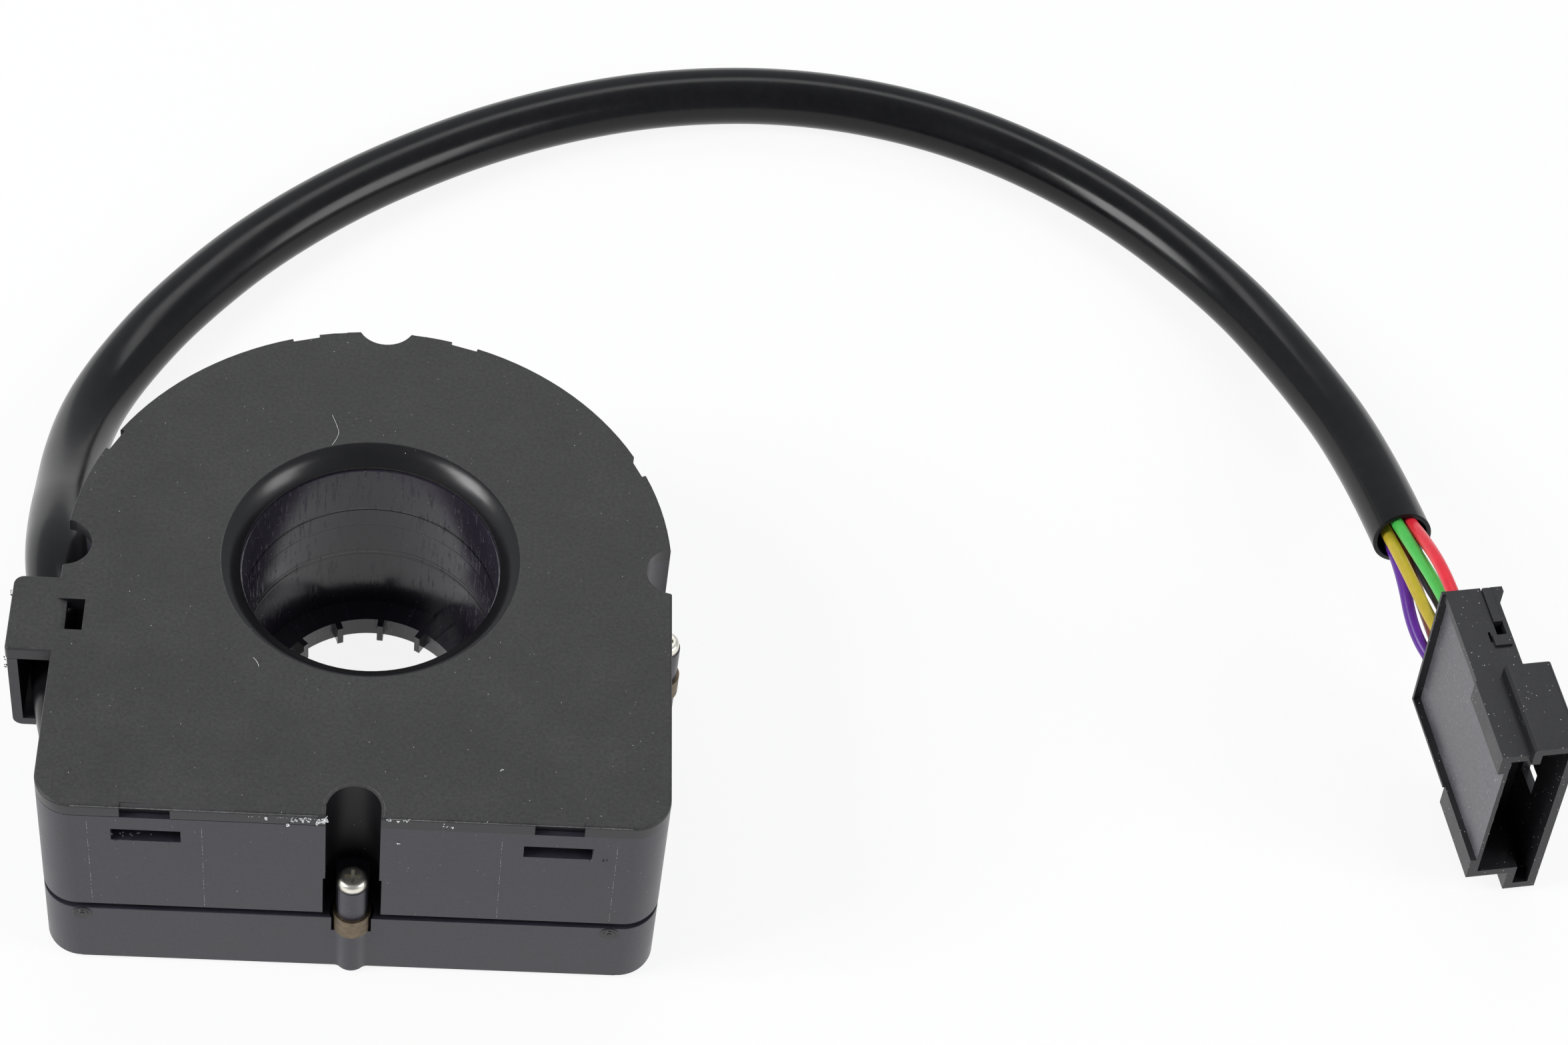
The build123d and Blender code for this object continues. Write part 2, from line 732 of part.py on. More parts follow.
# Light barriers: forks on the board that the code disc's rim runs through
def light_barrier(angle, reach):
    """Fork open towards the rotor's axis, with its gap at the code disc and its back clear of the rim."""
    gap_bottom = flange_top + disc_thickness / 2 - barrier_gap / 2
    inner = disc_radius - reach
    outer = disc_radius + free_gap + barrier_back
    outward = Vector(cos(radians(angle)), sin(radians(angle)), 0)
    with BuildPart() as fork:
        with BuildSketch(Plane(origin=(0, 0, 0), x_dir=outward, z_dir=outward.cross(Vector(0, 0, 1)))):
            with Locations((inner, board_top)):
                Rectangle(
                    outer - inner,
                    gap_bottom + barrier_gap + barrier_arm - board_top,
                    align=(Align.MIN, Align.MIN),
                )
            with Locations((inner, gap_bottom)):
                Rectangle(
                    disc_radius + free_gap - inner,
                    barrier_gap,
                    align=(Align.MIN, Align.MIN),
                    mode=Mode.SUBTRACT,
                )
        extrude(amount=barrier_width / 2, both=True)
        chamfer(fork.edges().filter_by(Axis.Z).group_by(SortBy.LENGTH)[-1], edge_round)
    return fork.part


barriers = {
    "light_barrier_a": (barrier_angle_a, barrier_reach),
    "light_barrier_b": (barrier_angle_b, barrier_reach),
    "index_barrier": (index_angle, disc_radius - index_inner + barrier_lens),
}
for name, (angle, reach) in barriers.items():
    barrier = light_barrier(angle, reach)
    barrier.label = name
    export_step(barrier, f"parts/{name}.step")


# Brass inserts in the base, and the screws that clamp the shell's lugs to them
for side, (x, y) in zip(screw_angles, screw_points):
    with BuildPart() as insert:
        with BuildSketch(Plane(origin=(x, y, insert_bottom))):
            Circle(insert_radius)
            Circle(screw_shank_radius + seat_clearance, mode=Mode.SUBTRACT)
        extrude(amount=insert_height)
    insert.part.label = f"insert_{side}"
    export_step(insert.part, f"parts/insert_{side}.step")

for side, (x, y) in zip(screw_angles, screw_points):
    with BuildPart() as screw:
        with BuildSketch(Plane(origin=(x, y, lug_top))):
            Circle(screw_head_radius)
        extrude(amount=screw_head_height)
        fillet(screw.edges().sort_by(Axis.Z)[-1], screw_head_height / 2)
        with BuildSketch(Plane(origin=(x, y, lug_top + screw_head_height))):
            Rectangle(recess_length, recess_width)
            Rectangle(recess_width, recess_length)
        extrude(amount=-recess_depth, mode=Mode.SUBTRACT)
        with BuildSketch(Plane(origin=(x, y, lug_top))):
            Circle(screw_shank_radius)
        extrude(amount=-screw_length)
    screw.part.label = f"screw_{side}"
    export_step(screw.part, f"parts/screw_{side}.step")


# Lead: a sleeve from the housing's left wall to its open end, and the wires that run on to the plug
sleeve_end = Vector(*sleeve_route[-1])
with BuildPart() as cable_sleeve:
    add(cord_tube(sleeve_route, sleeve_radius))
    with BuildSketch(Plane(origin=sleeve_end, z_dir=Vector(*sleeve_route[-2]) - sleeve_end)):
        Circle(sleeve_radius - sleeve_wall_thickness)
    extrude(amount=sleeve_open_depth, mode=Mode.SUBTRACT)
cable_sleeve.part.label = "cable_sleeve"
export_step(cable_sleeve.part, "parts/cable_sleeve.step")

for colour, route in wire_routes.items():
    with BuildPart() as wire:
        add(cord_tube(route, wire_radius))
    wire.part.label = f"wire_{colour}"
    export_step(wire.part, f"parts/wire_{colour}.step")


# Plug housing: narrow body with the wires' holes at its rear and a stepped, keyed mouth at its front
plug_plane = Plane(origin=plug_corner, x_dir=plug_across, z_dir=plug_forward)
plug_side = Plane(origin=plug_corner, x_dir=plug_plane.z_dir, z_dir=-plug_plane.x_dir)
plug_roof = Plane(origin=plug_corner, x_dir=plug_plane.z_dir, z_dir=plug_plane.y_dir)
plug_along = Axis(plug_corner, plug_forward)
socket_floor = plug_length - socket_depth
mouth_floor = mouth_start + plug_wall
plug_top = plug_height - plug_wall
row_spots = [(terminal_row, terminal_first + index * terminal_pitch) for index in range(len(wire_routes))]
lower_left = (Align.MIN, Align.MIN)
with BuildPart() as plug_housing:
    with BuildSketch(plug_plane):
        Rectangle(plug_thickness, plug_height, align=lower_left)
    extrude(amount=plug_length)
    with BuildSketch(plug_plane.offset(mouth_start)):
        with Locations((-mouth_swell, -mouth_left_drop)):
            Rectangle(mouth_left_width + mouth_swell, plug_height + mouth_left_drop, align=lower_left)
        with Locations((mouth_left_width, -mouth_right_drop)):
            Rectangle(mouth_thickness - mouth_left_width, plug_height + mouth_right_drop, align=lower_left)
    extrude(amount=plug_length - mouth_start)
    with BuildSketch(plug_plane.offset(key_start)) as key:
        with Locations((key_left, plug_top)):
            Rectangle(mouth_thickness - key_left, key_rise + plug_wall, align=lower_left)
        fillet(key.vertices().filter_by(lambda corner: plug_plane.to_local_coords(corner).Y > plug_height), key_round)
    extrude(amount=plug_length + key_overhang - key_start)

    # Lip at the rear of the far side, and the sunk near side with its rim
    with BuildSketch(plug_roof):
        with BuildLine():
            Polyline(
                (0, plug_thickness),
                (0, plug_thickness + rear_lip_width),
                (rear_lip_length, plug_thickness + rear_lip_width),
                (rear_lip_length + rear_lip_slope, plug_thickness),
                close=True,
            )
        make_face()
    extrude(amount=plug_height)
    with BuildSketch(plug_side.offset(mouth_swell)):
        with BuildLine():
            Polyline(
                (rim_width, rim_width),
                (plug_length, rim_width),
                (plug_length, ridge_bottom),
                (mouth_start, ridge_bottom),
                (mouth_start, panel_top),
                (rim_width, panel_top),
                close=True,
            )
        make_face()
    extrude(amount=-panel_depth - mouth_swell, mode=Mode.SUBTRACT)
    with BuildSketch(plug_plane):
        with Locations((-rim_rise, 0)):
            Rectangle(rim_rise + panel_depth, plug_height, align=lower_left)
    extrude(amount=rim_width)
    with BuildSketch(plug_plane):
        with Locations((-rim_rise, 0)):
            Rectangle(rim_rise + panel_depth, rim_width, align=lower_left)
    extrude(amount=mouth_start)

    # Socket, its wider mouth and the key's channel
    with BuildSketch(plug_plane.offset(socket_floor)):
        with Locations((plug_wall, plug_wall)):
            Rectangle(plug_thickness - 2 * plug_wall, plug_height - 2 * plug_wall, align=lower_left)
    extrude(amount=socket_depth, mode=Mode.SUBTRACT)
    with BuildSketch(plug_plane.offset(mouth_floor)):
        with Locations((plug_wall, plug_wall - mouth_left_drop)):
            Rectangle(
                mouth_thickness - 2 * plug_wall,
                plug_height + mouth_left_drop - 2 * plug_wall,
                align=lower_left,
            )
        with Locations((mouth_left_width + plug_wall, plug_wall - mouth_right_drop)):
            Rectangle(
                mouth_thickness - mouth_left_width - 2 * plug_wall,
                plug_height,
                align=lower_left,
            )
        with Locations((key_left + plug_wall, plug_wall)):
            Rectangle(
                mouth_thickness - key_left - 2 * plug_wall,
                plug_height + key_rise - 2 * plug_wall,
                align=lower_left,
            )
    extrude(amount=plug_length, mode=Mode.SUBTRACT)

    # Window for the mating plug's latch
    with BuildSketch(plug_plane.offset(latch_window_start)):
        with Locations((mouth_thickness, latch_window_bottom)):
            Rectangle(2 * plug_wall, latch_window_height, align=(Align.CENTER, Align.MIN))
    extrude(amount=latch_window_length, mode=Mode.SUBTRACT)

    # Holes for the wires and the terminals, the pocket of the terminal lock and its catch
    with BuildSketch(plug_plane):
        with Locations(*row_spots):
            Circle(wire_radius + seat_clearance)
    extrude(amount=wire_hole_depth, mode=Mode.SUBTRACT)
    with BuildSketch(plug_plane):
        with Locations(*row_spots):
            Rectangle(terminal_side + 2 * seat_clearance, terminal_side + 2 * seat_clearance)
    extrude(amount=socket_floor, mode=Mode.SUBTRACT)
    with BuildSketch(plug_plane):
        with Locations((lock_left - seat_clearance, plug_height - lock_depth - seat_clearance)):
            Rectangle(lock_width + 2 * seat_clearance, lock_depth + plug_wall, align=lower_left)
    extrude(amount=lock_length + lock_travel, mode=Mode.SUBTRACT)
    with BuildSketch(plug_plane.offset(catch_start)):
        with Locations((catch_left, plug_height)):
            Rectangle(catch_width, catch_rise, align=lower_left)
    extrude(amount=catch_length)
    with BuildSketch(plug_plane.offset(catch_start - catch_slit_lead)):
        with Locations((catch_left, plug_height)):
            Rectangle(catch_slit, 2 * catch_slit_lead, align=(Align.MAX, Align.CENTER))
    extrude(amount=catch_length, mode=Mode.SUBTRACT)
plug_housing.part.label = "plug_housing"
export_step(plug_housing.part, "parts/plug_housing.step")

# Six pins, one for each wire
with BuildPart() as terminals:
    with BuildSketch(plug_plane.offset(wire_hole_depth + seat_clearance)):
        with Locations(*row_spots):
            Rectangle(terminal_side, terminal_side)
    extrude(amount=terminal_length)
    chamfer(terminals.faces().group_by(plug_along)[-1].edges(), terminal_point)
terminals.part.label = "terminals"
export_step(terminals.part, "parts/terminals.step")

# Slide that locks the terminals in the plug
with BuildPart() as terminal_lock:
    with BuildSketch(plug_plane):
        with Locations((lock_left, plug_height - lock_depth)):
            Rectangle(lock_width, lock_depth + lock_rise, align=lower_left)
    extrude(amount=lock_length)
    chamfer(terminal_lock.faces().group_by(plug_along)[0].edges(), edge_round)
terminal_lock.part.label = "terminal_lock"
export_step(terminal_lock.part, "parts/terminal_lock.step")
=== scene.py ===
"""Looks of a steering angle sensor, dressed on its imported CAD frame. Lengths are in metres."""

import math
import random

import bmesh
import bpy
from mathutils import Matrix, Vector
from mathutils.bvhtree import BVHTree


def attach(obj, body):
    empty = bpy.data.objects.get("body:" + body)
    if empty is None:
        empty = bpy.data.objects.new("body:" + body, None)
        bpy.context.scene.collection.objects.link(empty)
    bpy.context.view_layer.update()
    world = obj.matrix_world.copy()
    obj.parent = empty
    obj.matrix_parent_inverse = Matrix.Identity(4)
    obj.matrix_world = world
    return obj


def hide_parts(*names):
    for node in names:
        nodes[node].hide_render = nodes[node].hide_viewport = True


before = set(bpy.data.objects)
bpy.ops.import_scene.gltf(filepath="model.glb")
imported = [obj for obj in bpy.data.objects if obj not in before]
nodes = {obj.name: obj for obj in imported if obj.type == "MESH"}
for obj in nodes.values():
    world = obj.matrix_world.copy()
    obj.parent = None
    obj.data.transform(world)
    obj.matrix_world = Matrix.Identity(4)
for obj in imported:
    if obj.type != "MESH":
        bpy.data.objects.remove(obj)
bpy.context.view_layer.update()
MM = 0.001

# Camera, placed where the photograph was taken from: in front of the flat wall and well above it.
# A long lens, solved from the housing's edges and circles.
camera_data = bpy.data.cameras.new("camera")
camera_data.lens = 82.27
camera_data.sensor_width = 36
camera_data.clip_start = 0.01
camera = bpy.data.objects.new("camera", camera_data)
bpy.context.scene.collection.objects.link(camera)
camera.matrix_world = Matrix((
    (0.99437, -0.05087, -0.09297, 0.008263),
    (-0.01870, 0.77927, -0.62641, -0.243184),
    (0.10431, 0.62462, 0.77393, 0.339276),
    (0, 0, 0, 1),
))
bpy.context.scene.camera = camera
bpy.context.scene.view_settings.view_transform = "Standard"


# Sweep of white paper that the sensor lies on. It shows white to the camera and in reflections, and keeps
# part of the soft shadow below the parts.
def shader_node(tree, kind, **values):
    """New shader node, with its inputs set by name and its other settings by keyword."""
    new = tree.nodes.new(kind)
    for key, value in values.items():
        if key in new.inputs:
            new.inputs[key].default_value = value
        else:
            setattr(new, key, value)
    return new


paper = bpy.data.materials.new("white_paper")
paper.use_nodes = True
paper.node_tree.nodes.clear()
paper_seen = shader_node(paper.node_tree, "ShaderNodeMath", operation="MAXIMUM")
paper_through = shader_node(paper.node_tree, "ShaderNodeMath", operation="MAXIMUM")
paper_share = shader_node(paper.node_tree, "ShaderNodeMath", operation="MULTIPLY")
paper_share.inputs[1].default_value = 0.85
paper_path = shader_node(paper.node_tree, "ShaderNodeLightPath")
paper_diffuse = shader_node(paper.node_tree, "ShaderNodeBsdfDiffuse", Color=(0.9, 0.9, 0.9, 1))
paper_glow = shader_node(paper.node_tree, "ShaderNodeEmission", Color=(1, 1, 1, 1), Strength=1.03)
paper_mix = shader_node(paper.node_tree, "ShaderNodeMixShader")
paper_output = shader_node(paper.node_tree, "ShaderNodeOutputMaterial")
link = paper.node_tree.links.new
link(paper_path.outputs["Is Camera Ray"], paper_seen.inputs[0])
link(paper_path.outputs["Is Glossy Ray"], paper_seen.inputs[1])
link(paper_seen.outputs[0], paper_through.inputs[0])
link(paper_path.outputs["Is Transmission Ray"], paper_through.inputs[1])
link(paper_through.outputs[0], paper_share.inputs[0])
link(paper_share.outputs[0], paper_mix.inputs["Fac"])
link(paper_diffuse.outputs[0], paper_mix.inputs[1])
link(paper_glow.outputs[0], paper_mix.inputs[2])
link(paper_mix.outputs[0], paper_output.inputs["Surface"])

bpy.ops.mesh.primitive_plane_add(size=6, location=(0, 0, -0.0002))
floor = bpy.context.object
floor.name = "floor"
floor.data.materials.append(paper)


# Light tent: pale cloth all round, darker where the camera looks in, and a softbox on each side of it and
# one high behind the sensor.
world = bpy.data.worlds.new("tent")
bpy.context.scene.world = world
world.use_nodes = True
tent = world.node_tree
tent.nodes.clear()
tent_way = shader_node(tent, "ShaderNodeTexCoord")
tent_facing = shader_node(tent, "ShaderNodeVectorMath", operation="DOT_PRODUCT")
tent_facing.inputs[1].default_value = (-0.09, -0.63, 0.77)
tent_level = shader_node(tent, "ShaderNodeMapRange")
tent_level.inputs["From Min"].default_value = 0.2
tent_level.inputs["From Max"].default_value = 0.95
tent_level.inputs["To Min"].default_value = 0.48
tent_level.inputs["To Max"].default_value = 0.18
tent_cloth = shader_node(tent, "ShaderNodeBackground", Color=(0.93, 0.95, 1.0, 1))
tent_white = shader_node(tent, "ShaderNodeBackground", Color=(1, 1, 1, 1))
tent_path = shader_node(tent, "ShaderNodeLightPath")
tent_mix = shader_node(tent, "ShaderNodeMixShader")
tent_output = shader_node(tent, "ShaderNodeOutputWorld")
tent.links.new(tent_way.outputs["Generated"], tent_facing.inputs[0])
tent.links.new(tent_facing.outputs["Value"], tent_level.inputs["Value"])
tent.links.new(tent_level.outputs["Result"], tent_cloth.inputs["Strength"])
tent.links.new(tent_path.outputs["Is Camera Ray"], tent_mix.inputs["Fac"])
tent.links.new(tent_cloth.outputs[0], tent_mix.inputs[1])
tent.links.new(tent_white.outputs[0], tent_mix.inputs[2])
tent.links.new(tent_mix.outputs[0], tent_output.inputs["Surface"])

lit_point = Vector((0.04, 0.03, 0.01))
for box_name, place, width, height, power in (
    ("left_box", (-0.57, -0.16, 0.49), 0.30, 0.42, 3.6),
    ("right_box", (0.67, -0.21, 0.44), 0.30, 0.42, 2.1),
    ("back_box", (0.05, 0.55, 0.70), 0.60, 0.20, 0.9),
):
    lamp_data = bpy.data.lights.new(box_name, "AREA")
    lamp_data.shape = "RECTANGLE"
    lamp_data.size = width
    lamp_data.size_y = height
    lamp_data.energy = power
    lamp = bpy.data.objects.new(box_name, lamp_data)
    bpy.context.scene.collection.objects.link(lamp)
    lamp.location = place
    lamp.rotation_euler = (lit_point - Vector(place)).to_track_quat("-Z", "Y").to_euler()


# Housing: the base tray and the shell that snaps and screws on it, in black glass-filled nylon. Moulded, with
# a fine spark-eroded texture that shines faintly, and every edge broken a little by the mould.
def moulded(name, colour, roughness, texture, mottle=0.2, grain=2600.0, spread=0.06):
    """Moulded plastic: its colour, gloss, height of the mould's texture, and unevenness of both."""
    finish = bpy.data.materials.new(name)
    finish.use_nodes = True
    tree = finish.node_tree
    shader = tree.nodes["Principled BSDF"]
    place = shader_node(tree, "ShaderNodeTexCoord")
    cloud = shader_node(tree, "ShaderNodeTexNoise", Scale=140.0, Detail=6.0, Roughness=0.65)
    fine = shader_node(tree, "ShaderNodeTexNoise", Scale=grain, Detail=3.0, Roughness=0.6)
    tints = []
    for texture_node in (cloud, fine):
        tree.links.new(place.outputs["Object"], texture_node.inputs["Vector"])
        tint = shader_node(tree, "ShaderNodeMapRange")
        tint.inputs["From Min"].default_value = 0.3
        tint.inputs["From Max"].default_value = 0.7
        tint.inputs["To Min"].default_value = 1 - mottle
        tint.inputs["To Max"].default_value = 1 + mottle
        tree.links.new(texture_node.outputs["Fac"], tint.inputs["Value"])
        tints.append(tint)
    shade = shader_node(tree, "ShaderNodeMath", operation="MULTIPLY")
    tree.links.new(tints[0].outputs["Result"], shade.inputs[0])
    tree.links.new(tints[1].outputs["Result"], shade.inputs[1])
    plastic = shader_node(tree, "ShaderNodeVectorMath", operation="SCALE", name="plastic")
    plastic.inputs[0].default_value = colour
    tree.links.new(shade.outputs[0], plastic.inputs["Scale"])
    tree.links.new(plastic.outputs[0], shader.inputs["Base Color"])
    gloss = shader_node(tree, "ShaderNodeMapRange", name="gloss")
    gloss.inputs["From Min"].default_value = 0.3
    gloss.inputs["From Max"].default_value = 0.7
    gloss.inputs["To Min"].default_value = roughness - spread
    gloss.inputs["To Max"].default_value = roughness + spread
    tree.links.new(cloud.outputs["Fac"], gloss.inputs["Value"])
    tree.links.new(gloss.outputs["Result"], shader.inputs["Roughness"])
    bump = shader_node(tree, "ShaderNodeBump", Strength=1.0, Distance=texture, name="grain")
    tree.links.new(fine.outputs["Fac"], bump.inputs["Height"])
    tree.links.new(bump.outputs["Normal"], shader.inputs["Normal"])
    return finish


def link_object(name, mesh):
    """New object with that mesh, linked to the scene."""
    new = bpy.data.objects.new(name, mesh)
    bpy.context.scene.collection.objects.link(new)
    return new


def round_edges(form, width):
    """The form's mesh with its weighted edges rounded."""
    edge = form.modifiers.new("edges", "BEVEL")
    edge.width = width
    edge.segments = 2
    edge.limit_method = "WEIGHT"
    edge.use_clamp_overlap = False
    bpy.context.view_layer.update()
    done = bpy.data.meshes.new_from_object(form.evaluated_get(bpy.context.evaluated_depsgraph_get()))
    form.modifiers.clear()
    return done


def shade_true(mesh, turn):
    """Sets each corner's normal from the faces round it that turn less than that, the largest most."""
    around = [[] for _ in mesh.vertices]
    for face in mesh.polygons:
        for corner in face.vertices:
            around[corner].append((face.normal.copy(), face.area))
    normals = []
    for face in mesh.polygons:
        for corner in face.vertices:
            normal = Vector()
            for other, area in around[corner]:
                if other.dot(face.normal) > math.cos(math.radians(turn)):
                    normal += other * area
            normals.append(normal.normalized())
    mesh.normals_split_custom_set(normals)


def stray_points(mesh, surface, width):
    """Ends of the edges that leave the form's surface, and corners of the faces that turned over."""
    away = {vertex.index for vertex in mesh.vertices if surface.find_nearest(vertex.co)[3] > width}
    sliver_area = width**2 / 50
    turned_over = 0.1
    for face in mesh.polygons:
        _, nearest_normal, _, _ = surface.find_nearest(face.center)
        if face.area > sliver_area and face.normal.dot(nearest_normal) < turned_over:
            away.update(face.vertices)
    ends = {end for line in mesh.edges if away.intersection(line.vertices) for end in line.vertices}
    return [mesh.vertices[end].co.copy() for end in ends]


def broken_edges(name, width, finish, body, turn=38):
    """A CAD node's own form with its sharp edges broken to a small round, shown in the node's place.

    Edges beside a short one stay sharp, and so do those that the round would pull out of shape.
    """
    source = nodes[name]
    least_edge = 2.5 * width
    round_reach = 4 * width
    shape = bmesh.new()
    shape.from_mesh(source.data)
    shape.transform(source.matrix_world)
    bmesh.ops.remove_doubles(shape, verts=shape.verts, dist=2e-6)
    bmesh.ops.dissolve_limit(
        shape,
        angle_limit=math.radians(0.4),
        verts=shape.verts,
        edges=shape.edges,
        use_dissolve_boundaries=False,
    )
    rounded = shape.edges.layers.float.new("bevel_weight_edge")
    for edge in shape.edges:
        shortest = min(near.calc_length() for end in edge.verts for near in end.link_edges)
        edge[rounded] = float(shortest > least_edge and edge.calc_face_angle(0) > math.radians(turn))
    surface = BVHTree.FromBMesh(shape)
    mesh = bpy.data.meshes.new(f"{name}_form")
    form = link_object(f"{name}_form", mesh)
    while True:
        shape.to_mesh(mesh)
        mesh.polygons.foreach_set("use_smooth", [True] * len(mesh.polygons))
        done = round_edges(form, width)
        strays = stray_points(done, surface, width)
        spoilt = [
            edge for edge in shape.edges if edge[rounded]
            and any((end.co - stray).length < round_reach for end in edge.verts for stray in strays)
        ]
        if not spoilt:
            break
        for edge in spoilt:
            edge[rounded] = 0.0
    shape.free()
    bpy.data.objects.remove(form)
    shade_true(done, turn)
    done.name = f"{name}_moulding"
    done.materials.clear()
    done.materials.append(finish)
    piece = link_object(f"{name}_moulding", done)
    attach(piece, body)
    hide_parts(name)
    return piece


wall_plastic = moulded("wall_plastic", (0.034, 0.032, 0.045), 0.36, 3e-6, mottle=0.15, spread=0.04)
broken_edges("base", 0.12 * MM, wall_plastic, "housing")
shell = broken_edges("shell", 0.12 * MM, wall_plastic, "housing")

# The front channel is painted blacker than the walls and reflects less: painted shade for the recess, where
# little light falls.
channel_shade_plastic = moulded("channel_shade_plastic", (0.006, 0.006, 0.008), 0.46, 1.5e-6, mottle=0.1, spread=0.03)
channel_shade_plastic.node_tree.nodes["Principled BSDF"].inputs["Specular IOR Level"].default_value = 0.25
shell.data.materials.append(channel_shade_plastic)
shell_channel_shade_slot = 1
most_slope = 0.3
front_wall = -34.3
channel_reach = 4.6 * MM
channel_front = (front_wall + 0.05) * MM
channel_back = -27.0 * MM
# The shell's faces inside the channel take the painted shade.
for face in shell.data.polygons:
    in_channel = abs(face.center.x) < channel_reach and channel_front < face.center.y < channel_back
    if in_channel and face.normal.y < most_slope and abs(face.normal.z) < most_slope:
        face.material_index = shell_channel_shade_slot


# Marks that the mould left on the front wall: the edges of its slides beside the snap windows, as hairline
# ridges, and a round gate scar near each end of the base's rim.
def hairline(shape, start, end, width, height, outward):
    """Thin ridge along a wall from start to end, standing outward from it."""
    start, end, outward = Vector(start) * MM, Vector(end) * MM, Vector(outward)
    side = (end - start).cross(outward).normalized() * width * MM / 2
    rise = outward * height * MM
    sink = outward * -0.05 * MM
    ring = [[at + side + sink, at + rise, at - side + sink] for at in (start, end)]
    verts = [[shape.verts.new(point) for point in row] for row in ring]
    for step in range(3):
        after = (step + 1) % 3
        shape.faces.new((verts[0][step], verts[0][after], verts[1][after], verts[1][step]))
    shape.faces.new(verts[0][::-1])
    shape.faces.new(verts[1])


def marks_piece(name, shape, finish, body):
    """Piece made of the marks drawn in a bmesh, which is freed."""
    bmesh.ops.recalc_face_normals(shape, faces=shape.faces)
    mesh = bpy.data.meshes.new(name)
    shape.to_mesh(mesh)
    shape.free()
    mesh.materials.append(finish)
    piece = link_object(name, mesh)
    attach(piece, body)


slide_marks = bmesh.new()
lowest_mark = 11.3
mark_step = 0.65
for x in (-27.4, -15.6, 15.5, 27.6):
    for step in range(24):
        foot = lowest_mark + mark_step * step
        top = foot + 0.3 + 0.25 * math.sin(5 * step + x)
        hairline(
            slide_marks, (x, front_wall, foot), (x, front_wall, top),
            width=0.13, height=0.04, outward=(0, -1, 0),
        )
rubbed_plastic = moulded("rubbed_plastic", (0.30, 0.30, 0.32), 0.5, 2e-6)
marks_piece("slide_marks", slide_marks, rubbed_plastic, "housing")

gate_scars = bmesh.new()
scar_height = 8.9
scar_taper = 0.85
facing_front = Matrix.Rotation(math.radians(90), 4, "X")
for x in (-28.6, 27.8):
    for radius, rise in ((1.15, 0.10), (0.75, 0.16), (0.3, 0.22)):
        bmesh.ops.create_cone(
            gate_scars, cap_ends=True, segments=24, depth=2 * rise * MM,
            radius1=radius * MM, radius2=scar_taper * radius * MM,
            matrix=Matrix.Translation(Vector((x, front_wall, scar_height)) * MM) @ facing_front,
        )
scar_plastic = moulded("scar_plastic", (0.016, 0.015, 0.018), 0.3, 60e-6, grain=700.0)
marks_piece("gate_scars", gate_scars, scar_plastic, "housing")


# Cover: a flat moulding of the same nylon with a matte, coarser texture, but for the bore's bevel, which the
# mould's turned core left polished.
cover_plastic = moulded("cover_plastic", (0.036, 0.036, 0.035), 0.52, 7e-6, mottle=0.28)
bevel_plastic = moulded("bevel_plastic", (0.012, 0.012, 0.013), 0.26, 0.6e-6, mottle=0.1, spread=0.03)
cover = broken_edges("cover", 0.10 * MM, cover_plastic, "housing")
cover.data.materials.append(bevel_plastic)
lip_plastic = moulded("lip_plastic", (0.013, 0.013, 0.017), 0.32, 1.5e-6, mottle=0.15, spread=0.04)
cover.data.materials.append(lip_plastic)
# The cover's upright faces inside the channel take the same painted shade.
cover.data.materials.append(channel_shade_plastic)
bevel_slot, lip_slot, channel_shade_slot = 1, 2, 3
upright = 0.4
journal_reach = 17 * MM
for face in cover.data.polygons:
    if abs(face.normal.z) < upright and math.hypot(face.center.x, face.center.y) > journal_reach:
        in_channel = abs(face.center.x) < channel_reach and channel_front < face.center.y < 0
        face.material_index = channel_shade_slot if in_channel else lip_slot
bevel_inner = 14.16
bevel_outer = 16.4
bevel_bottom = 27.0 * MM
bevel_leans = (46.0, 30.0)
rim_blend = 6
least_slant = 0.02
polished_slant = 0.12
most_slant = 0.95
cover_normals = [Vector(corner.vector) for corner in cover.data.corner_normals]
for face in cover.data.polygons:
    reach = math.hypot(face.center.x, face.center.y) / MM
    slant = math.hypot(face.normal.x, face.normal.y)
    beside_bevel = bevel_inner < reach < bevel_outer + 0.05 and face.center.z > bevel_bottom
    if not (beside_bevel and least_slant < slant < most_slant):
        continue
    if slant > polished_slant:
        face.material_index = bevel_slot
    for loop in face.loop_indices:
        corner = cover.data.vertices[cover.data.loops[loop].vertex_index].co
        out = math.hypot(corner.x, corner.y)
        depth = min(1.0, max(0.0, (bevel_outer - out / MM) / (bevel_outer - bevel_inner)))
        full = min(1.0, depth * rim_blend)
        lean = math.radians(full * (bevel_leans[0] + bevel_leans[1] * (depth - 0.5)))
        cover_normals[loop] = Vector((
            -corner.x / out * math.sin(lean), -corner.y / out * math.sin(lean), math.cos(lean)
        ))
cover.data.normals_split_custom_set(cover_normals)

# Pale hairlines along the cover's front edge, and along the edge round its screwdriver channel: painted
# highlights, the thin pale line that these edges catch.
edge_highlights = bmesh.new()
channel_centre = Vector((0, -33.25, 29.19))
channel_radius = 3.2
rim_turns = [math.radians(turn) for turn in range(-15, 200, 10)]
rim = [
    channel_centre + channel_radius * Vector((math.cos(turn), math.sin(turn), 0)) for turn in rim_turns
]
for start, end in zip(rim, rim[1:]):
    hairline(edge_highlights, start, end, width=0.14, height=0.04, outward=(0, 0, 1))
highlight_y = front_wall + 0.03
highlight_z = 29.17
for side in (-1, 1):
    near_channel = (side * 3.6, highlight_y, highlight_z)
    near_corner = (side * 29.0, highlight_y, highlight_z)
    hairline(edge_highlights, near_channel, near_corner, width=0.10, height=0.04, outward=(0, 0, 1))
# A pale grey, painted as the edges' highlight.
edge_highlight_plastic = moulded("edge_highlight_plastic", (0.15, 0.15, 0.15), 0.4, 3e-6, mottle=0.5)
marks_piece("edge_highlights", edge_highlights, edge_highlight_plastic, "housing")


